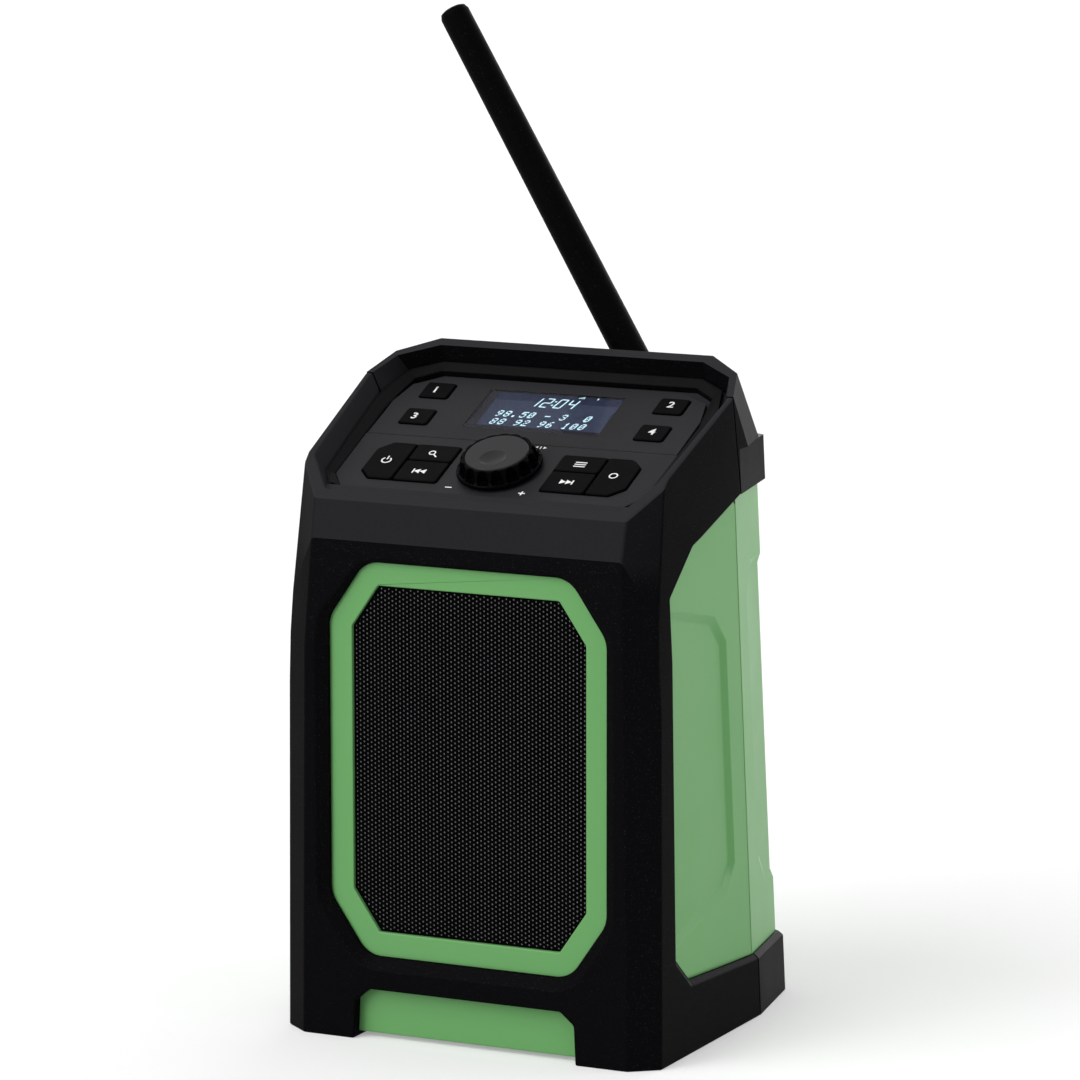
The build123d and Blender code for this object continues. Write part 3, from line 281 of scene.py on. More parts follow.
def only(*pieces):
    """Select these pieces and nothing else; the first is the active one."""
    if bpy.context.mode != "OBJECT":
        bpy.ops.object.mode_set(mode="OBJECT")
    bpy.ops.object.select_all(action="DESELECT")
    for piece in pieces:
        piece.select_set(True)
    bpy.context.view_layer.objects.active = pieces[0]


def apply_all(piece):
    """Apply every modifier of a piece."""
    only(piece)
    for modifier in list(piece.modifiers):
        bpy.ops.object.modifier_apply(modifier=modifier.name)


def merged_copy(node, name):
    """Copy of a CAD piece with its loose triangles merged into whole faces."""
    piece = bpy.data.objects.new(name, nodes[node].data.copy())
    scene.collection.objects.link(piece)
    only(piece)
    bpy.ops.object.mode_set(mode="EDIT")
    bpy.ops.mesh.customdata_custom_splitnormals_clear()
    bpy.ops.mesh.select_all(action="SELECT")
    bpy.ops.mesh.remove_doubles(threshold=merge_gap)
    bpy.ops.mesh.dissolve_limited(angle_limit=math.radians(flat_turn))
    bpy.ops.object.mode_set(mode="OBJECT")
    return piece


def select_edges(piece, wanted):
    """In edit mode, with only the edges selected that the test accepts."""
    only(piece)
    bpy.ops.object.mode_set(mode="EDIT")
    bpy.ops.mesh.select_mode(type="EDGE")
    bpy.ops.mesh.select_all(action="DESELECT")
    shape = bmesh.from_edit_mesh(piece.data)
    for edge in shape.edges:
        if wanted(edge):
            edge.select_set(True)
    bmesh.update_edit_mesh(piece.data)


def stand_in(piece, node):
    """The piece stands for a CAD node and rides on its body."""
    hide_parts(node)
    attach(piece, nodes[node]["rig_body"])
    return piece


def moulded(node, width, sharp=24):
    """Stand-in for a CAD piece with its edges rounded over, as a mould leaves them. Long
    shallow creases between its flats stay crisp."""
    piece = merged_copy(node, node + "_moulded")
    select_edges(piece, lambda edge: crease_turn < math.degrees(edge.calc_face_angle(0)) < sharp
                 and edge.calc_length() > crease_length)
    bpy.ops.mesh.mark_sharp()
    bpy.ops.object.mode_set(mode="OBJECT")
    bpy.ops.object.shade_smooth()
    edges = piece.modifiers.new("rounded_edges", "BEVEL")
    edges.width = width
    edges.segments = edge_segments
    edges.limit_method = "ANGLE"
    edges.angle_limit = math.radians(sharp)
    edges.use_clamp_overlap = False
    edges.miter_outer = "MITER_ARC"
    edges.face_strength_mode = "FSTR_ALL"
    flats = piece.modifiers.new("flat_faces", "WEIGHTED_NORMAL")
    flats.keep_sharp = True
    flats.use_face_influence = True
    flats.weight = 100
    even = piece.modifiers.new("even_triangles", "TRIANGULATE")
    even.ngon_method = "BEAUTY"
    even.keep_custom_normals = True
    apply_all(piece)
    return stand_in(piece, node)


black_plastic = plastic("frame_black_grained", frame_black, roughness=0.32, specular=0.006)
grain(black_plastic, size=0.00055, depth=0.00006, strength=0.5)
gloss_drift(black_plastic, size=0.03, low=0.28, high=0.36)
# painted glints: pale points in the colour where the grain would catch light
flecks(black_plastic, frame_black, frame_glint, size=0.0005, share=0.68)
# painted sheen: the upward faces of the tray are coloured paler, in place of the sky's reflection
settled_dust(black_plastic, frame_painted_sheen, painted_sheen_height)
for node, width in (("front_frame", 0.0008), ("bottom_rear_bumper", 0.0005)):
    paint(moulded(node, width), black_plastic)
paint(nodes["top_rear_bumper"], black_plastic)


# ---- green case ----------------------------------------------------------------------------
# The case is two shells of green ABS: the cabinet carries the speaker and the tray, the rear
# cover closes it and is held by four long screws. Satin, with a very fine grain.
case_green = (0.128, 0.342, 0.112)
green_plastic = plastic("case_green_satin", case_green, roughness=0.35, specular=0.24)
grain(green_plastic, size=0.0009, depth=0.00004, strength=0.35)
gloss_drift(green_plastic, size=0.05, low=0.30, high=0.42)
for node, width in (("front_cabinet", 0.0006), ("rear_cover", 0.0005), ("battery_door", 0.0004)):
    paint(moulded(node, width), green_plastic)


# ---- grille --------------------------------------------------------------------------------
# Perforated sheet steel, powder coated black. Its edge is folded back into a flange that the
# baffle clamps behind the green front. The holes are staggered, one cell is repeated.
grille_middle = 0.1183
grille_reach = (0.0533, 0.073)
grille_corner = (0.012, 0.0175)
sheet_front = -0.0709
sheet_thick = 0.0005
fold_thick = 0.0008         # the folded edge is left at full thickness
sheet_edge = 0.0009         # the folded edge of the sheet outside the field of holes
rim_gap = 0.0001            # hairline between the folded edge and the field
hole_pitch = 0.00194        # between neighbours in a column
hole_wide = 0.00082
hole_cell = hole_pitch / math.sqrt(3)           # from the middle of a cell to its corner
field_start = (-0.0555, grille_middle - 0.0747)
field_columns = 33          # pairs of columns
field_rows = 77
cell_gap = 0.00005          # corners of cells closer than this are joined
plane_reach = 0.0001        # a face this near to a plane lies in it
square_on = 0.9             # a face lies across the radio if it points this much to the front
back_area = 0.005           # square metres; only the whole back of the grille is larger


def select_faces(piece, wanted):
    """In edit mode, with only the faces selected that the test accepts."""
    only(piece)
    bpy.ops.object.mode_set(mode="EDIT")
    bpy.ops.mesh.select_mode(type="FACE")
    bpy.ops.mesh.select_all(action="DESELECT")
    shape = bmesh.from_edit_mesh(piece.data)
    for face in shape.faces:
        if wanted(face):
            face.select_set(True)
    bmesh.update_edit_mesh(piece.data)


def face_outwards(piece):
    """Turn every face of a piece outwards."""
    only(piece)
    bpy.ops.object.mode_set(mode="EDIT")
    bpy.ops.mesh.select_all(action="SELECT")
    bpy.ops.mesh.normals_make_consistent(inside=False)
    bpy.ops.object.mode_set(mode="OBJECT")


def holed_cell(x, z):
    """Six-sided cell with one hole, upright in the plane of the sheet."""
    bpy.ops.object.select_all(action="DESELECT")
    bpy.ops.mesh.primitive_circle_add(vertices=6, radius=hole_cell, fill_type="NGON",
                                      location=(x, sheet_front, z),
                                      rotation=(math.radians(90), math.radians(30), 0))
    bpy.ops.object.mode_set(mode="EDIT")
    bpy.ops.mesh.inset(thickness=(hole_pitch - hole_wide) / 2)
    bpy.ops.mesh.delete(type="FACE")
    bpy.ops.object.mode_set(mode="OBJECT")
    bpy.ops.object.transform_apply()
    return bpy.context.active_object


def octagon_sides(inset):
    """Points and outward directions of the eight sides of the grille's outline."""
    reach_x, reach_z = grille_reach
    cut_x, cut_z = grille_corner
    sides = [((side * reach_x, 0), (side, 0)) for side in (-1, 1)]
    sides += [((0, side * reach_z), (0, side)) for side in (-1, 1)]
    for across in (-1, 1):
        for up in (-1, 1):
            sides.append(((across * (reach_x - cut_x / 2), up * (reach_z - cut_z / 2)),
                          (across * cut_z, up * cut_x)))
    found = []
    for (x, z), (out_x, out_z) in sides:
        out = Vector((out_x, 0, out_z)).normalized()
        found.append((Vector((x, sheet_front, z + grille_middle)) - out * inset, out))
    return found


def cut_to_octagon(piece, inset):
    """Trim a flat piece to the grille's outline."""
    only(piece)
    bpy.ops.object.mode_set(mode="EDIT")
    for point, out in octagon_sides(inset):
        bpy.ops.mesh.select_all(action="SELECT")
        bpy.ops.mesh.bisect(plane_co=point, plane_no=out, clear_outer=True)
    bpy.ops.object.mode_set(mode="OBJECT")


left, low = field_start
mesh_sheet = holed_cell(left, low)
second_cell = holed_cell(left + 1.5 * hole_cell, low + hole_pitch / 2)
only(mesh_sheet, second_cell)
bpy.ops.object.join()
for count, step in ((field_columns, (3 * hole_cell, 0, 0)), (field_rows, (0, 0, hole_pitch))):
    repeat = mesh_sheet.modifiers.new("repeat", "ARRAY")
    repeat.count = count
    repeat.use_relative_offset = False
    repeat.use_constant_offset = True
    repeat.constant_offset_displace = step
apply_all(mesh_sheet)
bpy.ops.object.mode_set(mode="EDIT")
bpy.ops.mesh.select_all(action="SELECT")
bpy.ops.mesh.remove_doubles(threshold=cell_gap)
bpy.ops.object.mode_set(mode="OBJECT")
cut_to_octagon(mesh_sheet, sheet_edge)
face_outwards(mesh_sheet)
facing = sum(face.normal.y for face in mesh_sheet.data.polygons)
thickness = mesh_sheet.modifiers.new("sheet", "SOLIDIFY")
thickness.thickness = sheet_thick
thickness.offset = -1 if facing < 0 else 1
apply_all(mesh_sheet)
mesh_sheet.name = "grille_sheet"

grille_rim = merged_copy("grille", "grille_rim")
select_faces(grille_rim, lambda face: abs(face.normal.y) > square_on
             and abs(face.calc_center_median().y - sheet_front) < plane_reach)
bpy.ops.mesh.inset(thickness=sheet_edge - rim_gap)
bpy.ops.mesh.delete(type="FACE")
select_faces(grille_rim, lambda face: abs(face.normal.y) > square_on
             and abs(face.calc_center_median().y - sheet_front - fold_thick) < plane_reach
             and face.calc_area() > back_area)
bpy.ops.mesh.delete(type="FACE")
bpy.ops.mesh.select_mode(type="EDGE")
bpy.ops.mesh.select_non_manifold()
bpy.ops.mesh.bridge_edge_loops()
face_outwards(grille_rim)
grille_black = plastic("grille_powder_coat", (0.0010, 0.0010, 0.0011), roughness=0.5,
                       specular=0.01)
grain(grille_black, size=0.0003, depth=0.00003, strength=0.4)
for piece in (mesh_sheet, grille_rim):
    stand_in(piece, "grille")
    paint(piece, grille_black)


# ---- grille cloth --------------------------------------------------------------------------
# Grey woven dust cloth glued flat to the back of the perforated sheet. It keeps grit off the
# cone and shows as a paler dot in every hole.
cloth_glue = 0.00003
cloth_front = sheet_front + sheet_thick + cloth_glue
cloth_thick = 0.0004
cloth_thread = 0.00035
cloth_waves = 0.5 / cloth_thread / math.pi      # a thread is half a wave wide
cloth_grid = (26, 36)
cloth_dark = (0.31, 0.31, 0.33)
cloth_pale = (0.58, 0.58, 0.60)

bpy.ops.object.select_all(action="DESELECT")
bpy.ops.mesh.primitive_grid_add(x_subdivisions=cloth_grid[0], y_subdivisions=cloth_grid[1],
                                size=1, location=(0, cloth_front, grille_middle),
                                rotation=(math.radians(90), 0, 0))
cloth = bpy.context.active_object
cloth.name = "grille_dust_cloth"
cloth.scale = (2 * grille_reach[0], 2 * grille_reach[1], 1)
bpy.ops.object.transform_apply()
cut_to_octagon(cloth, sheet_edge)
thickness = cloth.modifiers.new("cloth", "SOLIDIFY")
thickness.thickness = cloth_thick
thickness.offset = -1
apply_all(cloth)
cloth_weave, tree, shader = new_material("dust_cloth_weave")
shader.inputs["Roughness"].default_value = 0.9
shader.inputs["Specular IOR Level"].default_value = 0.1
place = add_node(tree, "ShaderNodeTexCoord")
warp, weft = [add_node(tree, "ShaderNodeTexWave", {"Scale": cloth_waves},
                       bands_direction=direction) for direction in ("X", "Z")]
threads = add_node(tree, "ShaderNodeMath", operation="MULTIPLY")
bump = add_node(tree, "ShaderNodeBump", {"Distance": 0.0001, "Strength": 0.6})
for index, wave in enumerate((warp, weft)):
    tree.links.new(place.outputs["Object"], wave.inputs["Vector"])
    tree.links.new(wave.outputs["Fac"], threads.inputs[index])
tree.links.new(color_mix(tree, threads.outputs[0], cloth_dark, cloth_pale),
               shader.inputs["Base Color"])
tree.links.new(threads.outputs[0], bump.inputs["Height"])
tree.links.new(bump.outputs["Normal"], shader.inputs["Normal"])
paint(cloth, cloth_weave)
stand_in(cloth, "grille_cloth")


# ---- speaker -------------------------------------------------------------------------------
# Full range driver behind the grille: paper cone on a rubber half roll, pressed steel basket,
# ferrite magnet and a foam gasket, screwed to a black fibre baffle.
speaker_finish = {       # node: finish, colour, roughness, specular, grain size, depth, strength
    "speaker_baffle": ("baffle_fibreboard", (0.012, 0.012, 0.012), 0.8, 0.2, 0.0008, 0.0002, 1),
    "speaker_gasket": ("gasket_foam", (0.02, 0.02, 0.021), 0.95, 0.1, 0.0005, 0.0003, 1),
    "speaker_basket": ("basket_enamel", (0.01, 0.01, 0.01), 0.35, 0.5, 0.002, 0.00005, 0.4),
    "speaker_cone": ("cone_paper", (0.02, 0.019, 0.018), 0.85, 0.2, 0.0006, 0.0002, 1),
    "speaker_surround": ("surround_rubber", (0.008, 0.008, 0.008), 0.5, 0.4, 0.001, 0.00005, 1),
    "dust_cap": ("dust_cap_paper", (0.018, 0.017, 0.016), 0.8, 0.2, 0.0006, 0.0002, 1),
    "speaker_magnet": ("magnet_ferrite", (0.05, 0.05, 0.052), 0.6, 0.5, 0.0004, 0.0001, 1),
}
for node, (finish, color, roughness, specular, size, depth, strength) in speaker_finish.items():
    paint(nodes[node], grain(plastic(finish, color, roughness, specular), size, depth, strength))
speaker_zinc = plastic("speaker_screw_zinc", (0.55, 0.55, 0.53), roughness=0.35, metallic=1.0)
paint(nodes["speaker_screws"], grain(speaker_zinc, size=0.0003, depth=0.00002, strength=0.3))


# ---- control tray --------------------------------------------------------------------------
# Two dark grey plates of fine grained ABS close the tray: the display plate at the rear and
# the key panel in front, with a sloped trim strip between them and the rim.
panel_grey = (0.0165, 0.0160, 0.0178)
panel_glint = (0.035, 0.035, 0.038)
trim_grey = (0.0052, 0.0052, 0.0058)
panel_plastic = plastic("panel_dark_grey", panel_grey, roughness=0.5, specular=0.085)
grain(panel_plastic, size=0.0004, depth=0.00003, strength=0.35)
gloss_drift(panel_plastic, size=0.03, low=0.46, high=0.56)
# painted glints: pale points in the colour where the grain would catch light
flecks(panel_plastic, panel_grey, panel_glint, size=0.0004, share=0.70)
trim_plastic = plastic("trim_strip_grey", trim_grey, roughness=0.5, specular=0.03)
grain(trim_plastic, size=0.0004, depth=0.00003, strength=0.35)
gloss_drift(trim_plastic, size=0.02, low=0.45, high=0.56)
for node in ("display_plate", "key_panel"):
    paint(moulded(node, width=0.00035), panel_plastic)
paint(moulded("panel_bezel", width=0.0002), trim_plastic)


# ---- keys ----------------------------------------------------------------------------------
# Ten silicone coated key caps: four square presets and two clusters of three. Each has a
# bevelled top, a retaining flange below the plate and a stem on its switch.
key_caps = ["preset_key_1", "preset_key_2", "preset_key_3", "preset_key_4", "power_key",
            "scan_key", "previous_key", "menu_key", "next_key", "mode_key"]
key_plastic = plastic("key_black", (0.0016, 0.0016, 0.0020), roughness=0.45, specular=0.02)
grain(key_plastic, size=0.0005, depth=0.00003, strength=0.3)
gloss_drift(key_plastic, size=0.01, low=0.40, high=0.52)
for node in key_caps:
    paint(moulded(node, width=0.00015), key_plastic)


# ---- printed marks -------------------------------------------------------------------------
# Off-white pad printing: preset numbers and plain signs on the keys, a minus, a plus and a
# pair of arrows beside the knob. Sizes here are millimetres on the sloped control panel.
panel_middle = (0, -0.002, 0.2556)
panel_lean = 23.75          # degrees
panel_mm = (Matrix.Translation(panel_middle) @ Matrix.Rotation(math.radians(panel_lean), 4, "X")
            @ Matrix.Scale(0.001, 4))
print_thick = 0.06
key_top = 0.80              # above the panel
preset_places = [(-55.0, 11.6), (53.9, 12.5), (-55.2, -9.4), (54.1, -8.7)]
preset_size = 6.2
number_weight = 0.02        # added to every stroke of a number, as a share of its size
mark_line = 0.6             # width of a plain stroke
arrow_size = 1.8            # from the middle of an arrow to its tips
skip_step = 2.7             # between the two arrows of a skip sign
stop_step = 2.0             # from the second arrow to the stop line
stop_line = (0.65, 3.1)
round_sides = 28
mark_paint = plastic("mark_off_white", (0.88, 0.88, 0.87), roughness=0.5, specular=0.3)
gloss_drift(mark_paint, size=0.002, low=0.45, high=0.6)


def bar(x, u, width, height, turn=0):
    """Straight stroke, turned by degrees."""
    bpy.ops.object.select_all(action="DESELECT")
    bpy.ops.mesh.primitive_plane_add(size=1, location=(x, u, 0),
                                     rotation=(0, 0, math.radians(turn)))
    stroke = bpy.context.active_object
    stroke.scale = (width, height, 1)
    return stroke


def arrow(x, u, size, turn=0):
    """Filled triangle, pointing right before it is turned."""
    bpy.ops.object.select_all(action="DESELECT")
    bpy.ops.mesh.primitive_circle_add(vertices=3, radius=size, fill_type="NGON",
                                      location=(x, u, 0),
                                      rotation=(0, 0, math.radians(turn - 90)))
    return bpy.context.active_object


def circle_mark(x, u, radius, line, opening=0):
    """Round stroke; an opening is cut out at its top, that many millimetres wide."""
    bpy.ops.object.select_all(action="DESELECT")
    bpy.ops.mesh.primitive_circle_add(vertices=round_sides, radius=radius, fill_type="NGON",
                                      location=(x, u, 0))
    mark = bpy.context.active_object
    bpy.ops.object.mode_set(mode="EDIT")
    bpy.ops.mesh.inset(thickness=line)
    bpy.ops.mesh.delete(type="FACE")
    bpy.ops.object.mode_set(mode="OBJECT")
    if opening:
        select_faces(mark, lambda face: abs(face.calc_center_median().x) < opening / 2
                     and face.calc_center_median().y > 0)
        bpy.ops.mesh.delete(type="FACE")
        bpy.ops.object.mode_set(mode="OBJECT")
    return mark


def skip_sign(x, u, way):
    """Two arrows and a stop line; way 1 points right and -1 left."""
    turn = 0 if way > 0 else 180
    return [arrow(x, u, arrow_size, turn), arrow(x + way * skip_step, u, arrow_size, turn),
            bar(x + way * (skip_step + stop_step), u, *stop_line)]


def number(x, u, text, size):
    """Bold printed number, centred."""
    bpy.ops.object.select_all(action="DESELECT")
    bpy.ops.object.text_add(location=(x, u, 0))
    figure = bpy.context.active_object
    figure.data.body = text
    figure.data.size = size
    figure.data.offset = number_weight * size
    figure.data.align_x = "CENTER"
    figure.data.align_y = "CENTER"
    figure.data.resolution_u = 3
    bpy.ops.object.convert(target="MESH")
    return bpy.context.active_object


def printed(name, strokes, height, body, finish=mark_paint):
    """Lay flat strokes on the panel at that height as one thin layer of ink."""
    only(*strokes)
    if len(strokes) > 1:
        bpy.ops.object.join()
    mark = bpy.context.active_object
    mark.name = name
    bpy.ops.object.transform_apply()
    ink = mark.modifiers.new("ink", "SOLIDIFY")
    ink.thickness = print_thick
    ink.offset = 0
    apply_all(mark)
    face_outwards(mark)
    mark.data.transform(panel_mm @ Matrix.Translation((0, 0, height + print_thick / 2)))
    paint(mark, finish)
    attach(mark, body)
    return mark


for index, (x, u) in enumerate(preset_places, start=1):
    printed(f"preset_number_{index}", [number(x, u, str(index), preset_size)], key_top,
            f"preset_{index}")
x, u = -52.2, -44.0
printed("power_mark", [circle_mark(x, u, radius=2.3, line=mark_line, opening=2.2),
                       bar(x, u + 1.8, width=mark_line, height=2.6)], key_top, "power")
x, u = -34.4, -36.2
printed("scan_mark", [circle_mark(x, u, radius=1.6, line=0.55),
                      bar(x + 2, u - 2, width=0.65, height=2.5, turn=45)], key_top, "scan")
printed("previous_mark", skip_sign(-32.0, -50.4, way=-1), key_top, "previous")
x, u = 33.6, -36.7
printed("menu_mark", [bar(x, u + rise, width=5.2, height=mark_line) for rise in (-1.5, 0, 1.5)],
        key_top, "menu")
printed("next_mark", skip_sign(31.2, -50.2, way=1), key_top, "next")
printed("mode_mark", [circle_mark(51.3, -43.1, radius=2.0, line=mark_line)], key_top, "mode")
printed("quieter_mark", [bar(-16.6, -59.4, width=3.0, height=mark_line)], 0, "cabinet")
x, u = 16.9, -59.7
printed("louder_mark", [bar(x, u, width=3.0, height=mark_line),
                        bar(x, u + 0.85, width=mark_line, height=1.1),
                        bar(x, u - 0.85, width=mark_line, height=1.1)], 0, "cabinet")
x, u = 10.4, -25.2
printed("tune_mark", [arrow(x - 1.8, u, size=1.0, turn=180), arrow(x + 1.8, u, size=1.0),
                      bar(x, u, width=0.45, height=1.8)], 0, "cabinet")


# ---- display -------------------------------------------------------------------------------
# Negative liquid crystal display: a clear acrylic window in the plate, dark blue glass below
# it and pale blue characters that only show numbers, lit from a white light frame.
film_low = -1.19            # films bonded to the back of the window, one over the other
film_mid = film_low + print_thick
lit_level = film_low + 2 * print_thick
display_films = {        # film: colour, level, middle and size in millimetres
    "display_mask": ((0.0150, 0.0150, 0.0200), film_low, (0, 1.6), (61.7, 30.0)),
    "display_field": ((0.030, 0.037, 0.066), film_mid, (2.1, 0.3), (57.2, 20.1)),
    "display_strip": ((0.0165, 0.021, 0.044), film_mid, (2.1, 13.1), (57.2, 5.5)),
}
figure_lean = 0.26          # rightwards for each step up
slant = Matrix(((1, figure_lean, 0, 0), (0, 1, 0, 0), (0, 0, 1, 0), (0, 0, 0, 1)))

window_clear, tree, shader = new_material("window_acrylic")
shader.inputs["Base Color"].default_value = (0.95, 0.96, 0.98, 1)
shader.inputs["Transmission Weight"].default_value = 1.0
shader.inputs["IOR"].default_value = 1.1
shader.inputs["Specular IOR Level"].default_value = 0.10
smear = noise_on(tree, size=0.02, detail=2)
smear_range = add_node(tree, "ShaderNodeMapRange", {"To Min": 0.03, "To Max": 0.10})
tree.links.new(smear.outputs["Fac"], smear_range.inputs["Value"])
tree.links.new(smear_range.outputs["Result"], shader.inputs["Roughness"])
paint(nodes["display_window"], window_clear)
glass_blue = plastic("display_glass_blue", (0.024, 0.028, 0.048), roughness=0.3, specular=0.3)
paint(nodes["display_glass"], gloss_drift(glass_blue, size=0.02, low=0.25, high=0.35))
light_white = plastic("light_frame_white", (0.75, 0.75, 0.72), roughness=0.5)
paint(nodes["display_backlight"], grain(light_white, size=0.001, depth=0.00003))

for name, (color, level, (x, u), size) in display_films.items():
    film = plastic(name, color, roughness=0.4, specular=0.08)
    gloss_drift(film, size=0.02, low=0.36, high=0.44)
    printed(name, [bar(x, u, *size)], level, "cabinet", film)

lit_blue, tree, shader = new_material("display_lit_crystal")
shader.inputs["Base Color"].default_value = (0.35, 0.5, 0.55, 1)
shader.inputs["Emission Color"].default_value = (0.60, 0.90, 1.0, 1)
flicker = noise_on(tree, size=0.003, detail=1)
flicker_range = add_node(tree, "ShaderNodeMapRange", {"To Min": 0.40, "To Max": 0.66})
tree.links.new(flicker.outputs["Fac"], flicker_range.inputs["Value"])
tree.links.new(flicker_range.outputs["Result"], shader.inputs["Emission Strength"])

clock_middle = (1.0, 9.9)
digit_places = (-8.6, -3.3, 3.0, 8.3)
digit_size = (3.1, 6.6)
colon_place = (-0.1, 1.4)
colon_dot = 0.8
segment_line = 0.62
segment_gap = 0.2
segments_lit = {"0": "abcdef", "1": "bc", "2": "abged", "4": "fgbc"}


def clock_digit(figure, x):
    """Seven segment figure about its middle."""
    width, height = digit_size
    side, top, mid = width / 2, height / 2, height / 4
    middles = {"a": (0, top), "b": (side, mid), "c": (side, -mid), "d": (0, -top),
               "e": (-side, -mid), "f": (-side, mid), "g": (0, 0)}
    strokes = []
    for segment in segments_lit[figure]:
        dx, du = middles[segment]
        if segment in "adg":
            strokes.append(bar(x + dx, du, width - segment_gap, segment_line))
        else:
            strokes.append(bar(x + dx, du, segment_line, top - segment_gap))
    return strokes


clock = []
for figure, x in zip("1204", digit_places):
    clock += clock_digit(figure, x)
clock += [bar(colon_place[0], side * colon_place[1], colon_dot, colon_dot) for side in (1, -1)]
for stroke in clock:
    stroke.data.transform(stroke.matrix_basis)
    stroke.matrix_basis = Matrix.Identity(4)
    stroke.data.transform(Matrix.Translation((*clock_middle, 0)) @ slant)
printed("clock_figures", clock, lit_level, "cabinet", lit_blue)

dot_grid = (5, 7)
dot_size = (0.50, 0.64)
row_start = -19.8           # middle of the first character
character_step = 3.7
dot_lines = [("98.50 - 3  0", -0.3), ("88 92 96 100", -6.5)]
dot_rows = {
    "0": "01110 10001 10011 10101 11001 10001 01110",
    "1": "00100 01100 00100 00100 00100 00100 01110",
    "2": "01110 10001 00001 00110 01000 10000 11111",
    "3": "01110 10001 00001 00110 00001 10001 01110",
    "4": "00010 00110 01010 10010 11111 00010 00010",
    "5": "11111 10000 11110 00001 00001 10001 01110",
    "6": "00110 01000 10000 11110 10001 10001 01110",
    "8": "01110 10001 10001 01110 10001 10001 01110",
    "9": "01110 10001 10001 01111 00001 00010 01100",
    ".": "00000 00000 00000 00000 00000 01100 01100",
    "-": "00000 00000 00000 11111 00000 00000 00000",
}


def dot_character(figure, x, u):
    """Five by seven dot character, its lit cells left from a grid."""
    bpy.ops.object.select_all(action="DESELECT")
    columns, lines = dot_grid
    bpy.ops.mesh.primitive_grid_add(x_subdivisions=columns, y_subdivisions=lines, size=1,
                                    location=(0, 0, 0))
    cell = bpy.context.active_object
    cell.scale = (columns * dot_size[0], lines * dot_size[1], 1)
    bpy.ops.object.transform_apply()
    rows = dot_rows[figure].split()

    def dark(face):
        middle = face.calc_center_median()
        column = min(columns - 1, max(0, int(columns / 2 + middle.x / dot_size[0])))
        row = min(lines - 1, max(0, int(lines / 2 - middle.y / dot_size[1])))
        return rows[row][column] == "0"

    select_faces(cell, dark)
    bpy.ops.mesh.delete(type="FACE")
    bpy.ops.object.mode_set(mode="OBJECT")
    cell.data.transform(Matrix.Translation((x, u, 0)) @ slant)
    return cell


for index, (text, u) in enumerate(dot_lines, start=1):
    characters = [dot_character(figure, row_start + character_step * place, u)
                  for place, figure in enumerate(text) if figure != " "]
    printed(f"display_row_{index}", characters, lit_level, "cabinet", lit_blue)
signs = [bar(10.4 + 0.7 * step, 15.2 + 0.15 * step, width=0.4, height=0.6 + 0.3 * step)
         for step in range(4)]                  # four rising bars, then an arrow on a stem
signs += [arrow(19.0, 15.6, size=0.55, turn=90), bar(19.0, 14.9, width=0.25, height=0.9)]
printed("display_signs", signs, lit_level, "cabinet", lit_blue)


# ---- control board -------------------------------------------------------------------------
# Green fibreglass board under the key panel, with ten push switches. Four zinc plated screws
# hold it, of the same kind as those of the main board.
board_green = plastic("board_solder_mask", (0.01, 0.11, 0.05), roughness=0.35, specular=0.5)
grain(board_green, size=0.0015, depth=0.00005, strength=0.5)
gloss_drift(board_green, size=0.01, low=0.3, high=0.45)
chip_black = plastic("chip_epoxy", (0.012, 0.012, 0.013), roughness=0.55, specular=0.4)
grain(chip_black, size=0.0003, depth=0.00003, strength=0.4)
screw_steel = plastic("screw_zinc", (0.34, 0.34, 0.33), roughness=0.48, metallic=1.0)
grain(screw_steel, size=0.0003, depth=0.00002, strength=0.3)
paint(nodes["control_board"], board_green)
paint(nodes["key_switches"], chip_black)
paint(nodes["board_screws"], screw_steel)


# ---- knob ----------------------------------------------------------------------------------
# Rotary knob on the shaft of a push encoder: gloss black skirt with scallops for the fingers
# and a satin grey disc let into its top, with one dimple to turn it by.
knob_gloss = plastic("knob_gloss_black", (0.0008, 0.0008, 0.0010), roughness=0.16,
                     specular=0.016)
gloss_drift(knob_gloss, size=0.006, low=0.12, high=0.20)
knob_satin = plastic("knob_satin_grey", (0.022, 0.022, 0.0235), roughness=0.30, specular=0.09)
grain(knob_satin, size=0.0004, depth=0.00002, strength=0.3)
gloss_drift(knob_satin, size=0.01, low=0.30, high=0.38)
encoder_zinc = plastic("encoder_zinc", (0.5, 0.5, 0.49), roughness=0.4, metallic=1.0)
grain(encoder_zinc, size=0.0004, depth=0.00002, strength=0.4)
paint(moulded("knob", width=0.00025, sharp=28), knob_gloss)
paint(nodes["knob_cap"], knob_satin)
paint(nodes["rotary_encoder"], encoder_zinc)
for node in ("encoder_nut", "encoder_plunger", "encoder_shaft"):
    paint(nodes[node], screw_steel)


# ---- battery bay ---------------------------------------------------------------------------
# Open black tray behind the door with four large cells in two columns, coiled contacts below
# and spring steel plates at both ends.
jacket_blue = (0.025, 0.05, 0.11)
band_silver = (0.45, 0.45, 0.46)        # one pale band round the middle of each cell
band_step = 0.0305          # half the rise from one cell's band to the next one's
band_edge = (0.0255, 0.0257)            # from halfway between two bands to where one begins
battery_black = plastic("battery_box_black", (0.012, 0.012, 0.013), roughness=0.5, specular=0.4)
paint(nodes["battery_box"], grain(battery_black, size=0.0006, depth=0.00004, strength=0.4))
cell_jacket, tree, shader = new_material("cell_jacket")
shader.inputs["Roughness"].default_value = 0.28
shader.inputs["Metallic"].default_value = 0.4
place = add_node(tree, "ShaderNodeTexCoord")
height = add_node(tree, "ShaderNodeSeparateXYZ")
level = add_node(tree, "ShaderNodeMath", operation="PINGPONG")
level.inputs[1].default_value = band_step
band = add_node(tree, "ShaderNodeMapRange", {"From Min": band_edge[0],
                                             "From Max": band_edge[1]})
tree.links.new(place.outputs["Object"], height.inputs[0])
tree.links.new(height.outputs["Z"], level.inputs[0])
tree.links.new(level.outputs[0], band.inputs["Value"])
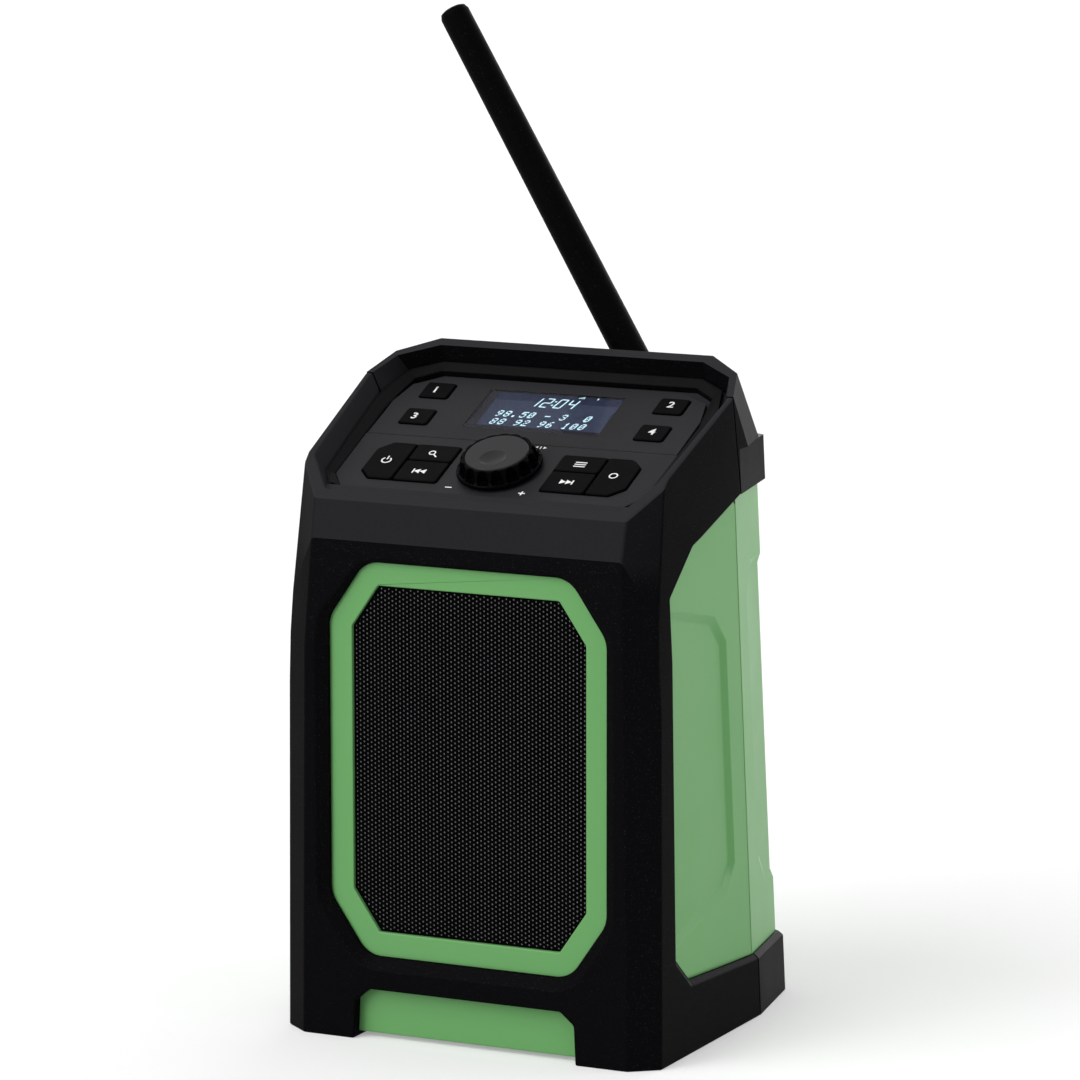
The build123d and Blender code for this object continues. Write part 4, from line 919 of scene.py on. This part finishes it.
tree.links.new(color_mix(tree, band.outputs["Result"], jacket_blue, band_silver),
               shader.inputs["Base Color"])
paint(nodes["battery_cells"], grain(cell_jacket, size=0.004, depth=0.00003, strength=0.3))
contact_nickel = plastic("contact_nickel", (0.66, 0.64, 0.60), roughness=0.28, metallic=1.0)
grain(contact_nickel, size=0.0005, depth=0.00002, strength=0.3)
for node in ("battery_springs", "contact_plates"):
    paint(nodes[node], contact_nickel)


# ---- sockets and flap ----------------------------------------------------------------------
# Supply and line-in sockets sit in a small recess at the foot of the back, under a soft
# rubber flap with its own hinge.
flap_rubber = plastic("flap_rubber", (0.006, 0.006, 0.0065), roughness=0.6, specular=0.3)
grain(flap_rubber, size=0.0006, depth=0.00005, strength=0.5)
gloss_drift(flap_rubber, size=0.01, low=0.55, high=0.68)
paint(moulded("socket_flap", width=0.0003), flap_rubber)
for node in ("supply_socket", "line_socket"):
    paint(nodes[node], chip_black)
paint(nodes["socket_board"], board_green)


# ---- main board ----------------------------------------------------------------------------
# Upright board on four pillars in front of the battery box, with its larger components and
# the tinned can of the tuner.
tuner_tinplate = plastic("tuner_tinplate", (0.6, 0.6, 0.58), roughness=0.35, metallic=1.0)
grain(tuner_tinplate, size=0.0008, depth=0.00004, strength=0.4, stretch=(1, 1, 6))
paint(nodes["main_board"], board_green)
paint(nodes["board_parts"], chip_black)
paint(nodes["tuner_module"], tuner_tinplate)


# ---- aerial --------------------------------------------------------------------------------
# Flexible rod aerial in a matt black rubber sleeve, bonded over the eye of a moulded knuckle
# that tilts on a slotted shoulder screw.
sleeve_black = (0.0014, 0.0014, 0.0016)
sleeve_glint = (0.009, 0.009, 0.010)
sleeve_rubber = plastic("aerial_sleeve_rubber", sleeve_black, roughness=0.5, specular=0.015)
grain(sleeve_rubber, size=0.0005, depth=0.00005, strength=0.5)
gloss_drift(sleeve_rubber, size=0.02, low=0.45, high=0.56)
# painted glints: pale points in the colour where the grain would catch light
flecks(sleeve_rubber, sleeve_black, sleeve_glint, size=0.0007, share=0.68)
knuckle_plastic = plastic("aerial_knuckle_black", (0.002, 0.002, 0.0024), roughness=0.42,
                          specular=0.06)
grain(knuckle_plastic, size=0.0005, depth=0.00003, strength=0.4)
gloss_drift(knuckle_plastic, size=0.01, low=0.40, high=0.52)
paint(moulded("aerial_rod", width=0.0003, sharp=28), sleeve_rubber)
paint(moulded("aerial_knuckle", width=0.0004, sharp=30), knuckle_plastic)
paint(nodes["aerial_pivot"], screw_steel)


# ---- case screws ---------------------------------------------------------------------------
# Four long zinc plated screws hold the rear cover, their heads sunk in the corners. Each head
# has a pressed hollow for the driver.
driver_rim = 0.0013         # land left round the hollow
driver_depth = 0.0014
head_area = 1.5e-5          # square metres; only the heads' outer faces are larger
smooth_turn = 30            # degrees; edges that turn more stay crisp

screw_heads = merged_copy("case_screws", "case_screws_pressed")
select_faces(screw_heads, lambda face: face.normal.y > square_on and face.calc_area() > head_area)
bpy.ops.mesh.inset(thickness=driver_rim, use_individual=True)
bpy.ops.mesh.extrude_region_move(TRANSFORM_OT_translate={"value": (0, -driver_depth, 0)})
bpy.ops.object.mode_set(mode="OBJECT")
bpy.ops.object.shade_smooth_by_angle(angle=math.radians(smooth_turn))
stand_in(screw_heads, "case_screws")
paint(screw_heads, screw_steel)
